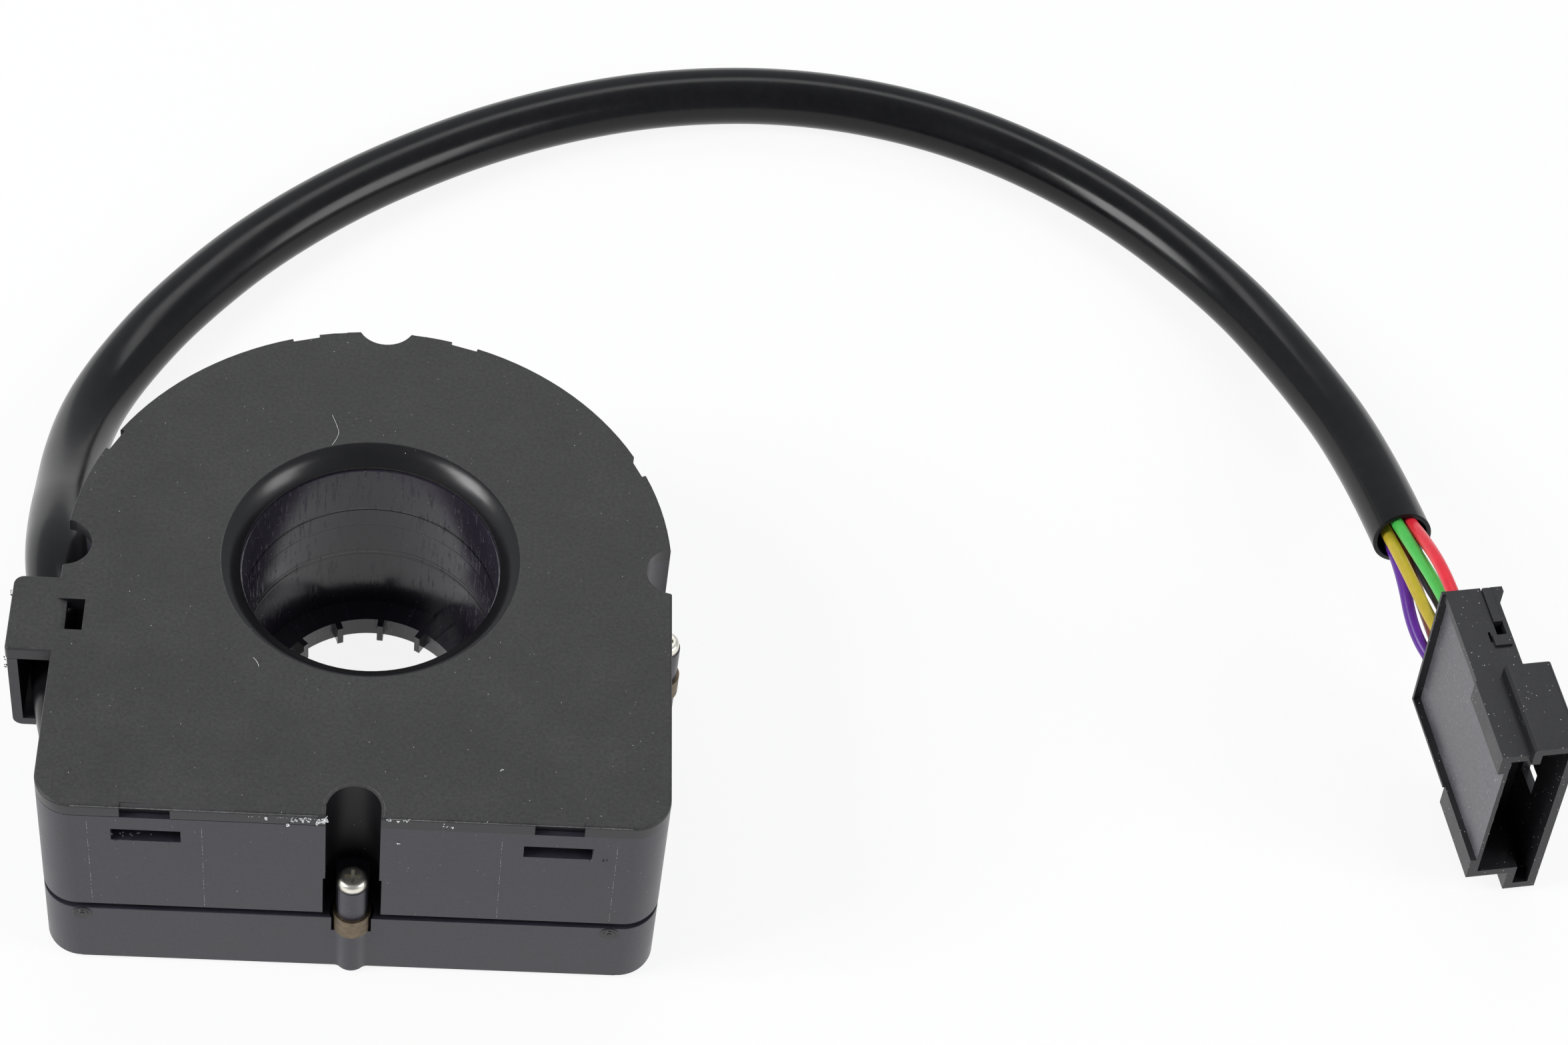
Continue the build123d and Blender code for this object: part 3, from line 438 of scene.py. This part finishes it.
# Rotor: a ribbed sleeve of acetal that turns in the bore. Columns have rubbed four dark rings round its
# inside and scratched it lengthwise.
rotor_plastic = moulded("rotor_plastic", (0.038, 0.033, 0.049), 0.21, 1.5e-6, mottle=0.12, spread=0.04)
rotor_tree = rotor_plastic.node_tree
rotor_place = shader_node(rotor_tree, "ShaderNodeTexCoord")
rotor_split = shader_node(rotor_tree, "ShaderNodeSeparateXYZ")
rotor_turn = shader_node(rotor_tree, "ShaderNodeMath", operation="ARCTAN2")
rotor_tree.links.new(rotor_place.outputs["Object"], rotor_split.inputs[0])
rotor_tree.links.new(rotor_split.outputs["Y"], rotor_turn.inputs[0])
rotor_tree.links.new(rotor_split.outputs["X"], rotor_turn.inputs[1])
rotor_flat = shader_node(rotor_tree, "ShaderNodeCombineXYZ")
rotor_along = shader_node(rotor_tree, "ShaderNodeMath", operation="MULTIPLY")
rotor_along.inputs[1].default_value = 9.0
rotor_tree.links.new(rotor_split.outputs["Z"], rotor_along.inputs[0])
rotor_tree.links.new(rotor_turn.outputs[0], rotor_flat.inputs["X"])
rotor_tree.links.new(rotor_along.outputs[0], rotor_flat.inputs["Y"])
rotor_scratch = shader_node(rotor_tree, "ShaderNodeTexNoise", Scale=26.0, Detail=6.0, Roughness=0.75)
rotor_tree.links.new(rotor_flat.outputs[0], rotor_scratch.inputs["Vector"])
rotor_marks = shader_node(rotor_tree, "ShaderNodeMapRange")
rotor_marks.inputs["From Min"].default_value = 0.56
rotor_marks.inputs["From Max"].default_value = 0.72
rotor_marks.inputs["To Min"].default_value = 1.0
rotor_marks.inputs["To Max"].default_value = 2.6
rotor_tree.links.new(rotor_scratch.outputs["Fac"], rotor_marks.inputs["Value"])
rotor_dark = rotor_marks.outputs["Result"]
for height, width, level in ((20.2, 0.18, -1.2), (17.4, 0.10, 0.2), (12.2, 0.26, -1.0), (12.9, 0.10, 0.0)):
    off = shader_node(rotor_tree, "ShaderNodeMath", operation="SUBTRACT")
    off.inputs[1].default_value = height * MM
    away = shader_node(rotor_tree, "ShaderNodeMath", operation="ABSOLUTE")
    ring = shader_node(rotor_tree, "ShaderNodeMapRange")
    ring.inputs["From Min"].default_value = width * MM * 0.4
    ring.inputs["From Max"].default_value = width * MM
    ring.inputs["To Min"].default_value = level
    ring.inputs["To Max"].default_value = 1.0
    darker = shader_node(rotor_tree, "ShaderNodeMath", operation="MULTIPLY")
    rotor_tree.links.new(rotor_split.outputs["Z"], off.inputs[0])
    rotor_tree.links.new(off.outputs[0], away.inputs[0])
    rotor_tree.links.new(away.outputs[0], ring.inputs["Value"])
    rotor_tree.links.new(ring.outputs["Result"], darker.inputs[0])
    rotor_tree.links.new(rotor_dark, darker.inputs[1])
    rotor_dark = darker.outputs[0]
rotor_worn = shader_node(rotor_tree, "ShaderNodeVectorMath", operation="SCALE")
rotor_tree.links.new(rotor_tree.nodes["plastic"].outputs[0], rotor_worn.inputs[0])
rotor_tree.links.new(rotor_dark, rotor_worn.inputs["Scale"])
rotor_tree.links.new(rotor_worn.outputs[0], rotor_tree.nodes["Principled BSDF"].inputs["Base Color"])
rotor_groove = shader_node(rotor_tree, "ShaderNodeBump", Strength=1.0, Distance=10e-6)
rotor_tree.links.new(rotor_dark, rotor_groove.inputs["Height"])
rotor_tree.links.new(rotor_tree.nodes["grain"].outputs["Normal"], rotor_groove.inputs["Normal"])
rotor_tree.links.new(rotor_groove.outputs["Normal"], rotor_tree.nodes["Principled BSDF"].inputs["Normal"])
rotor = broken_edges("rotor", 0.08 * MM, rotor_plastic, "rotor_group")
bore_scratches = bmesh.new()
bore_reach = 14.0
for azimuth, top, foot, drift in (
    (132, 20.7, 14.2, 0.5),
    (102, 15.6, 15.0, 0.2),
    (78, 19.0, 17.6, 0.3),
    (64, 17.1, 14.9, -0.6),
):
    starts, stops = math.radians(azimuth), math.radians(azimuth + drift)
    hairline(
        bore_scratches,
        (bore_reach * math.cos(starts), bore_reach * math.sin(starts), top),
        (bore_reach * math.cos(stops), bore_reach * math.sin(stops), foot),
        width=0.05, height=0.02, outward=(-math.cos(starts), -math.sin(starts), 0),
    )
marks_piece("bore_scratches", bore_scratches, rubbed_plastic, "rotor_group")


# Screws, brass inserts and the plug's pins: nickelled steel, brass gone dull in the plastic, and tinned
# bronze, each with a fine uneven stain.
def metal(name, colour, roughness, stain=0.15):
    """Metal: its colour, its gloss and how far its stain darkens it."""
    finish = bpy.data.materials.new(name)
    finish.use_nodes = True
    tree = finish.node_tree
    shader = tree.nodes["Principled BSDF"]
    shader.inputs["Metallic"].default_value = 1.0
    place = shader_node(tree, "ShaderNodeTexCoord")
    cloud = shader_node(tree, "ShaderNodeTexNoise", Scale=1400.0, Detail=4.0, Roughness=0.6)
    tree.links.new(place.outputs["Object"], cloud.inputs["Vector"])
    tint = shader_node(tree, "ShaderNodeMapRange")
    tint.inputs["To Min"].default_value = 1 - 2 * stain
    tint.inputs["To Max"].default_value = 1 + stain
    stained = shader_node(tree, "ShaderNodeVectorMath", operation="SCALE")
    stained.inputs[0].default_value = colour
    gloss = shader_node(tree, "ShaderNodeMapRange")
    gloss.inputs["To Min"].default_value = roughness
    gloss.inputs["To Max"].default_value = roughness + 0.2
    tree.links.new(cloud.outputs["Fac"], tint.inputs["Value"])
    tree.links.new(tint.outputs["Result"], stained.inputs["Scale"])
    tree.links.new(stained.outputs[0], shader.inputs["Base Color"])
    tree.links.new(cloud.outputs["Fac"], gloss.inputs["Value"])
    tree.links.new(gloss.outputs["Result"], shader.inputs["Roughness"])
    return finish


def dress(name, finish):
    """Gives a CAD node that shows as it is its finish."""
    for slot in nodes[name].material_slots:
        slot.material = finish


nickel = metal("nickel", (0.97, 0.94, 0.84), 0.3)
brass = metal("brass", (0.24, 0.19, 0.13), 0.42, stain=0.4)
for side in ("front", "right", "back", "left"):
    broken_edges(f"screw_{side}", 0.06 * MM, nickel, "housing")
    dress(f"insert_{side}", brass)
tin = metal("tin", (0.75, 0.72, 0.62), 0.25)
dress("terminals", tin)


# Inside the closed housing: the board in green lacquer with its packages, cans and header, and on the rotor
# the steel code disc, its retaining ring and a white slide ring.
board_lacquer = moulded("board_lacquer", (0.012, 0.11, 0.04), 0.35, 3e-6)
package_resin = moulded("package_resin", (0.015, 0.015, 0.016), 0.5, 4e-6)
header_plastic = moulded("header_plastic", (0.5, 0.47, 0.38), 0.4, 2e-6, mottle=0.05)
slide_plastic = moulded("slide_plastic", (0.7, 0.69, 0.64), 0.35, 2e-6, mottle=0.05)
steel_sheet = metal("steel_sheet", (0.55, 0.55, 0.54), 0.35)
can_aluminium = metal("can_aluminium", (0.75, 0.75, 0.76), 0.3)
for name, finish in {
    "circuit_board": board_lacquer,
    "controller_chip": package_resin,
    "line_driver_chip": package_resin,
    "voltage_regulator": package_resin,
    "light_barrier_a": package_resin,
    "light_barrier_b": package_resin,
    "index_barrier": package_resin,
    "input_capacitor": can_aluminium,
    "output_capacitor": can_aluminium,
    "resonator": can_aluminium,
    "wire_header": header_plastic,
    "code_disc": steel_sheet,
    "disc_retainer": rotor_plastic,
    "slide_ring": slide_plastic,
}.items():
    dress(name, finish)


# Lead: a glossy black plastic tube, pushed into the housing's trough, that lies in one open loop behind the
# housing. It has slumped a little wider between its ends, and is cut square where the six wires come out.
def smooth_line(name, points):
    """NURBS curve object through a route in millimetres, whose points are its control points."""
    data = bpy.data.curves.new(name, "CURVE")
    data.dimensions = "3D"
    spline = data.splines.new("NURBS")
    spline.points.add(len(points) - 1)
    for control, point in zip(spline.points, points):
        control.co = (*(Vector(point) * MM), 1)
    spline.order_u = 3
    spline.use_endpoint_u = True
    data.resolution_u = 12
    curve = bpy.data.objects.new(name, data)
    bpy.context.scene.collection.objects.link(curve)
    return curve


def read_line(curve):
    """Points along a curve object that has no bevel."""
    mesh = bpy.data.meshes.new_from_object(curve)
    points = [vertex.co.copy() for vertex in mesh.vertices]
    bpy.data.meshes.remove(mesh)
    return points


def line_length(points):
    """Length along a line of points."""
    return sum((b - a).length for a, b in zip(points, points[1:]))


def sleeve_tube(name, points, radius, swell, bore, bore_depth, sides=48):
    """Round tube along a line, wider sideways in its middle, and solid but for the bore at its far end."""
    total = line_length(points)
    run = 0.0
    across = None
    frames = []
    for index, point in enumerate(points):
        ahead = (points[min(index + 1, len(points) - 1)] - points[max(index - 1, 0)]).normalized()
        across = ahead.orthogonal() if across is None else across - ahead * across.dot(ahead)
        across.normalize()
        if index:
            run += (point - points[index - 1]).length
        frames.append((run, point, across.copy(), ahead.cross(across)))
    shape = bmesh.new()

    def ring(place, size, widening=0.0, shift=0.0):
        _, point, side, up = place
        verts = []
        for step in range(sides):
            turn = 2 * math.pi * step / sides
            way = side * math.cos(turn) + up * math.sin(turn)
            reach = size * (1 + widening * (1 - way.z**2))
            verts.append(shape.verts.new(point + side.cross(up) * shift + way * reach))
        return verts

    def skin(first, second):
        for step in range(sides):
            shape.faces.new((first[step], first[step - 1], second[step - 1], second[step]))

    held = 50 * MM
    widens_over = 50 * MM
    narrows_over = 80 * MM
    outer = []
    for place in frames:
        start_off, end_off = place[0] - held, total - place[0]
        free = min(1.0, max(0.0, start_off) / widens_over, max(0.0, end_off) / narrows_over)
        outer.append(ring(place, radius, swell * free * free * (3 - 2 * free)))
    for first, second in zip(outer, outer[1:]):
        skin(first, second)
    shape.faces.new(outer[0])
    lip_inset = 0.12 * MM
    lip_rise = 0.07 * MM
    flare = 0.1 * MM
    lip = ring(frames[-1], radius - lip_inset, 0.0, lip_rise)
    skin(outer[-1], lip)
    inner = [ring(frames[-1], bore + flare, 0.0, lip_rise), ring(frames[-1], bore, 0.0, -flare)]
    inner += [ring(place, bore) for place in reversed(frames) if 4 * flare < total - place[0] < bore_depth]
    skin(lip, inner[0])
    for first, second in zip(inner, inner[1:]):
        skin(first, second)
    shape.faces.new(inner[-1][::-1])
    bmesh.ops.recalc_face_normals(shape, faces=shape.faces)
    mesh = bpy.data.meshes.new(name)
    shape.to_mesh(mesh)
    shape.free()
    mesh.polygons.foreach_set("use_smooth", [True] * len(mesh.polygons))
    mesh.set_sharp_from_angle(angle=math.radians(50))
    return link_object(name, mesh)


sleeve_route = [
    (-27.9, -27.2, 19.7),
    (-30.6, -19.6, 20.3),
    (-32.4, -11.6, 20.7),
    (-32.9, -4.2, 20.9),
    (-34.8, 4.0, 20.1),
    (-35.6, 12.5, 16.4),
    (-36.0, 21.5, 11.4),
    (-36.2, 30.5, 7.4),
    (-35.2, 39.5, 4.7),
    (-32.2, 48.0, 3.7),
    (-26.5, 58.1, 3.7),
    (-16.6, 70.8, 3.7),
    (-2.9, 82.9, 3.7),
    (14.9, 93.8, 3.7),
    (34.4, 100.6, 3.7),
    (54.5, 102.1, 3.7),
    (74.1, 97.6, 3.7),
    (91.9, 87.1, 3.7),
    (106.3, 71.8, 4.1),
    (114.0, 57.6, 5.7),
    (120.3, 39.9, 9.0),
    (122.25, 23.8, 12.6),
]
sleeve_radius = 3.6 * MM
sleeve_line = smooth_line("sleeve_line", sleeve_route)
sleeve_points = read_line(sleeve_line)
bpy.data.objects.remove(sleeve_line)
sleeve = sleeve_tube("sleeve", sleeve_points, sleeve_radius, swell=0.08, bore=3.0 * MM, bore_depth=8.5 * MM)
sleeve_plastic = moulded(
    "sleeve_plastic", (0.008, 0.008, 0.009), 0.2, 0.8e-6, mottle=0.15, grain=700.0, spread=0.04
)
sleeve_plastic.node_tree.nodes["Principled BSDF"].inputs["Specular IOR Level"].default_value = 0.3
sleeve.data.materials.append(sleeve_plastic)
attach(sleeve, "housing")
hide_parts("cable_sleeve")


# Six stranded wires in coloured plastic insulation, from inside the sleeve to their holes in the plug's rear
# face. The plug and the slide that locks its terminals are moulded in black plastic, its side panel rougher
# and painted a lighter grey for the light from the left that falls on it.
wire_radius = 0.75 * MM
wires = {
    "red": ((0.93, 0.03, 0.055), [
        (122.03, 32.86, 12.05), (122.8, 26.2, 13.6), (123.3, 20.1, 17.1),
        (123.8, 14.0, 20.0), (124.52, 7.71, 21.19), (125.22, 2.37, 21.48),
    ]),
    "green": ((0.09, 0.62, 0.10), [
        (120.3, 32.65, 12.15), (120.99, 26.93, 13.43), (121.9, 20.0, 16.2),
        (123.6, 13.3, 17.6), (124.68, 7.6, 18.66), (125.38, 2.25, 18.95),
    ]),
    "black": ((0.010, 0.012, 0.017), [
        (122.94, 32.64, 10.67), (123.64, 26.92, 11.95), (124.3, 19.1, 11.7),
        (125.5, 12.0, 14.0), (124.83, 7.48, 16.13), (125.54, 2.14, 16.41),
    ]),
    "yellow": ((0.66, 0.50, 0.04), [
        (119.47, 32.22, 10.67), (120.16, 26.5, 11.95), (121.4, 19.4, 13.7),
        (123.6, 12.6, 12.9), (124.99, 7.37, 13.6), (125.69, 2.03, 13.88),
    ]),
    "brown": ((0.28, 0.10, 0.065), [
        (122.05, 32.2, 9.3), (122.72, 26.1, 10.6), (123.6, 19.1, 10.4),
        (125.3, 12.2, 9.2), (125.15, 7.26, 11.06), (125.85, 1.91, 11.35),
    ]),
    "purple": ((0.14, 0.025, 0.38), [
        (120.38, 31.99, 9.19), (121.07, 26.28, 10.47), (122.0, 19.2, 11.3),
        (122.9, 12.2, 9.2), (125.31, 7.14, 8.53), (126.01, 1.8, 8.81),
    ]),
}
plug_plastic = moulded("plug_plastic", (0.018, 0.018, 0.021), 0.42, 3e-6, mottle=0.2)
plug = broken_edges("plug_housing", 0.10 * MM, plug_plastic, "housing")
# The side panel's lighter grey is painted light: the light from the left that falls on it.
lit_panel_plastic = moulded("lit_panel_plastic", (0.115, 0.114, 0.128), 0.40, 5e-6, mottle=0.25)
plug.data.materials.append(lit_panel_plastic)
plug_left = Vector((-0.98957, -0.13288, -0.05557))
plug_rim = max(vertex.co.dot(plug_left) for vertex in plug.data.vertices)
panel_depth = 0.9
lit_panel_slot = 1
for face in plug.data.polygons:
    off_panel = abs((plug_rim - face.center.dot(plug_left)) / MM - panel_depth)
    if face.normal.dot(plug_left) > 0.98 and off_panel < 0.1 and face.area > MM**2:
        face.material_index = lit_panel_slot
lock = broken_edges("terminal_lock", 0.06 * MM, plug_plastic, "housing")
for colour_name, (colour, route) in wires.items():
    wire = smooth_line(f"insulated_{colour_name}", route)
    wire_points = read_line(wire)
    wire.data.bevel_depth = wire_radius
    wire.data.bevel_resolution = 6
    wire.data.use_fill_caps = True
    wire.data.materials.append(
        moulded(f"{colour_name}_insulation", colour, 0.3, 0.5e-6, mottle=0.05, grain=900.0, spread=0.04)
    )
    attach(wire, "housing")
    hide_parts(f"wire_{colour_name}")


# Dust and lint that lie on the sensor: pale flakes, most of them on the faces that look up, and two short
# fibres beside the bore. On the rotor the flakes lie thick, partly dust and partly painted glints along its
# top rim.
# Swarf of the same nylon hangs where the mould and the snaps have torn the edges.
def flake_group():
    """Geometry nodes that strew flat flakes over the faces of a mesh that look up far enough."""
    group = bpy.data.node_groups.new("strewn_flakes", "GeometryNodeTree")
    for label, kind in (
        ("Surface", "NodeSocketGeometry"),
        ("Density", "NodeSocketFloat"),
        ("Flake size", "NodeSocketFloat"),
        ("Least upward", "NodeSocketFloat"),
        ("Seed", "NodeSocketInt"),
        ("Finish", "NodeSocketMaterial"),
    ):
        group.interface.new_socket(name=label, in_out="INPUT", socket_type=kind)
    group.interface.new_socket(name="Dust", in_out="OUTPUT", socket_type="NodeSocketGeometry")
    given = shader_node(group, "NodeGroupInput")
    way = shader_node(group, "GeometryNodeInputNormal")
    split = shader_node(group, "ShaderNodeSeparateXYZ")
    upward = shader_node(group, "FunctionNodeCompare", data_type="FLOAT", operation="GREATER_THAN")
    points = shader_node(group, "GeometryNodeDistributePointsOnFaces")
    flake = shader_node(group, "GeometryNodeMeshIcoSphere", Radius=1.0, Subdivisions=1)
    shapes = shader_node(group, "FunctionNodeRandomValue", data_type="FLOAT_VECTOR")
    shapes.inputs[0].default_value = (0.3, 0.3, 0.15)
    shapes.inputs[1].default_value = (1.0, 1.0, 0.4)
    sized = shader_node(group, "ShaderNodeVectorMath", operation="SCALE")
    placed = shader_node(group, "GeometryNodeInstanceOnPoints")
    real = shader_node(group, "GeometryNodeRealizeInstances")
    finished = shader_node(group, "GeometryNodeSetMaterial")
    result = shader_node(group, "NodeGroupOutput")
    join = group.links.new
    join(way.outputs["Normal"], split.inputs[0])
    join(split.outputs["Z"], upward.inputs[0])
    join(given.outputs["Least upward"], upward.inputs[1])
    join(given.outputs["Surface"], points.inputs["Mesh"])
    join(upward.outputs["Result"], points.inputs["Selection"])
    join(given.outputs["Density"], points.inputs["Density"])
    join(given.outputs["Seed"], points.inputs["Seed"])
    join(given.outputs["Seed"], shapes.inputs["Seed"])
    join(shapes.outputs["Value"], sized.inputs[0])
    join(given.outputs["Flake size"], sized.inputs["Scale"])
    join(points.outputs["Points"], placed.inputs["Points"])
    join(points.outputs["Rotation"], placed.inputs["Rotation"])
    join(flake.outputs["Mesh"], placed.inputs["Instance"])
    join(sized.outputs["Vector"], placed.inputs["Scale"])
    join(placed.outputs["Instances"], real.inputs["Geometry"])
    join(real.outputs["Geometry"], finished.inputs["Geometry"])
    join(given.outputs["Finish"], finished.inputs["Material"])
    join(finished.outputs["Geometry"], result.inputs["Dust"])
    return group


flake_tree = flake_group()
flake_inputs = {
    item.name: item.identifier for item in flake_tree.interface.items_tree if item.in_out == "INPUT"
}
dust_and_glint_finish = moulded("dust_and_glint_finish", (0.70, 0.70, 0.68), 0.85, 1e-6, mottle=0.3)
for flake_name, surface, body, slot, density, flake_size, least_upward, seed in (
    ("cover_dust", cover, "housing", "cover", 0.5e5, 0.062 * MM, 0.9, 3),
    ("wall_dust", shell, "housing", "housing", 0.55e5, 0.055 * MM, -0.2, 5),
    # On the rotor the flakes are dust and also painted glints: thick enough to make a dotted bright line
    # along its top rim.
    ("rotor_dust_and_glints", rotor, "rotor_group", "rotor", 2.0e5, 0.055 * MM, -0.1, 8),
    ("plug_dust", plug, "housing", "plug", 4.0e5, 0.075 * MM, -0.3, 13),
):
    strewn = link_object(flake_name, surface.data.copy())
    strew = strewn.modifiers.new("dust", "NODES")
    strew.node_group = flake_tree
    strew[flake_inputs["Density"]] = density
    strew[flake_inputs["Flake size"]] = flake_size
    strew[flake_inputs["Least upward"]] = least_upward
    strew[flake_inputs["Seed"]] = seed
    strew[flake_inputs["Finish"]] = dust_and_glint_finish
    bpy.context.view_layer.update()
    flakes = bpy.data.meshes.new_from_object(strewn.evaluated_get(bpy.context.evaluated_depsgraph_get()))
    bpy.data.objects.remove(strewn)
    flakes.name = flake_name
    dust = link_object(flake_name, flakes)
    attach(dust, body)

for fibre_name, fibre_route in (
    ("long_fibre", [(-5.41, 19.95, 29.25), (-4.74, 18.35, 29.3), (-4.41, 17.0, 29.25), (-5.2, 15.57, 29.23)]),
    ("short_fibre", [(-11.71, -14.44, 29.23), (-11.12, -15.03, 29.27), (-11.08, -15.54, 29.23)]),
):
    fibre_line = smooth_line(fibre_name, fibre_route)
    fibre_line.data.bevel_depth = 0.028 * MM
    fibre_line.data.bevel_resolution = 1
    fibre_mesh = bpy.data.meshes.new_from_object(fibre_line)
    bpy.data.objects.remove(fibre_line)
    fibre_mesh.materials.append(dust_and_glint_finish)
    fibre = link_object(fibre_name, fibre_mesh)
    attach(fibre, "housing")


def shreds(shape, chance, start, end, count, size):
    """Torn slivers strewn along an edge from start to end, the longest of about that size."""
    start, end = Vector(start), Vector(end)
    for _ in range(count):
        spot = start.lerp(end, chance.random()) + Vector([chance.uniform(-0.3, 0.3) * size for _ in range(3)])
        length = size * chance.uniform(0.25, 0.9)
        breadth = size * chance.uniform(0.15, 0.4)
        form = Matrix.Diagonal([length, breadth, 0.3 * size, 1])
        angle = chance.uniform(0, math.pi)
        turn = Matrix.Rotation(angle, 4, Vector([chance.uniform(-1, 1) for _ in range(3)]))
        place = Matrix.Scale(MM, 4) @ Matrix.Translation(spot)
        bmesh.ops.create_icosphere(shape, subdivisions=1, radius=0.5, matrix=place @ turn @ form)


whitened = moulded("whitened_swarf", (0.82, 0.82, 0.82), 0.6, 4e-6, mottle=0.4)
for swarf_name, swarf_finish, tears in (
    ("white_swarf", whitened, (
        ((-6.2, -34.4, 28.3), (-4.4, -34.4, 28.6), 20, 0.65),
        ((-4.0, -34.4, 28.2), (-2.7, -34.4, 28.7), 18, 0.75),
        ((-11.5, -34.35, 28.6), (-2.7, -34.35, 28.8), 16, 0.26),
        ((3.5, -34.3, 29.0), (6.2, -34.3, 29.0), 14, 0.42),
        ((9.2, -34.35, 28.7), (10.2, -34.4, 28.2), 5, 0.5),
        ((-8.9, -34.4, 28.5), (-8.8, -34.4, 28.6), 4, 0.6),
        ((-6.8, -34.35, 27.3), (-6.7, -34.35, 27.5), 4, 0.5),
        ((4.7, -34.35, 24.9), (4.8, -34.35, 25.0), 2, 0.42),
        ((15.09, -27.56, 29.2), (15.2, -27.5, 29.2), 3, 0.42),
    )),
    ("black_swarf", wall_plastic, (
        ((-38.0, -14.0, 25.0), (-38.0, -14.0, 26.7), 7, 0.5),
        ((-38.6, -4.3, 24.7), (-38.6, -4.1, 25.3), 4, 0.5),
        ((33.2, -4.0, 14.5), (33.2, 2.0, 14.5), 6, 0.4),
        ((-26.0, -34.3, 24.3), (-20.0, -34.3, 24.5), 9, 0.7),
        ((-26.0, -34.3, 23.2), (-18.6, -34.3, 23.2), 6, 0.45),
        ((24.5, -34.3, 23.2), (27.0, -34.3, 23.2), 5, 0.45),
    )),
):
    swarf_shape = bmesh.new()
    chance = random.Random(21)
    for start, end, count, size in tears:
        shreds(swarf_shape, chance, start, end, count, size)
    swarf_mesh = bpy.data.meshes.new(swarf_name)
    swarf_shape.to_mesh(swarf_mesh)
    swarf_shape.free()
    swarf_mesh.materials.append(swarf_finish)
    swarf = link_object(swarf_name, swarf_mesh)
    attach(swarf, "housing")
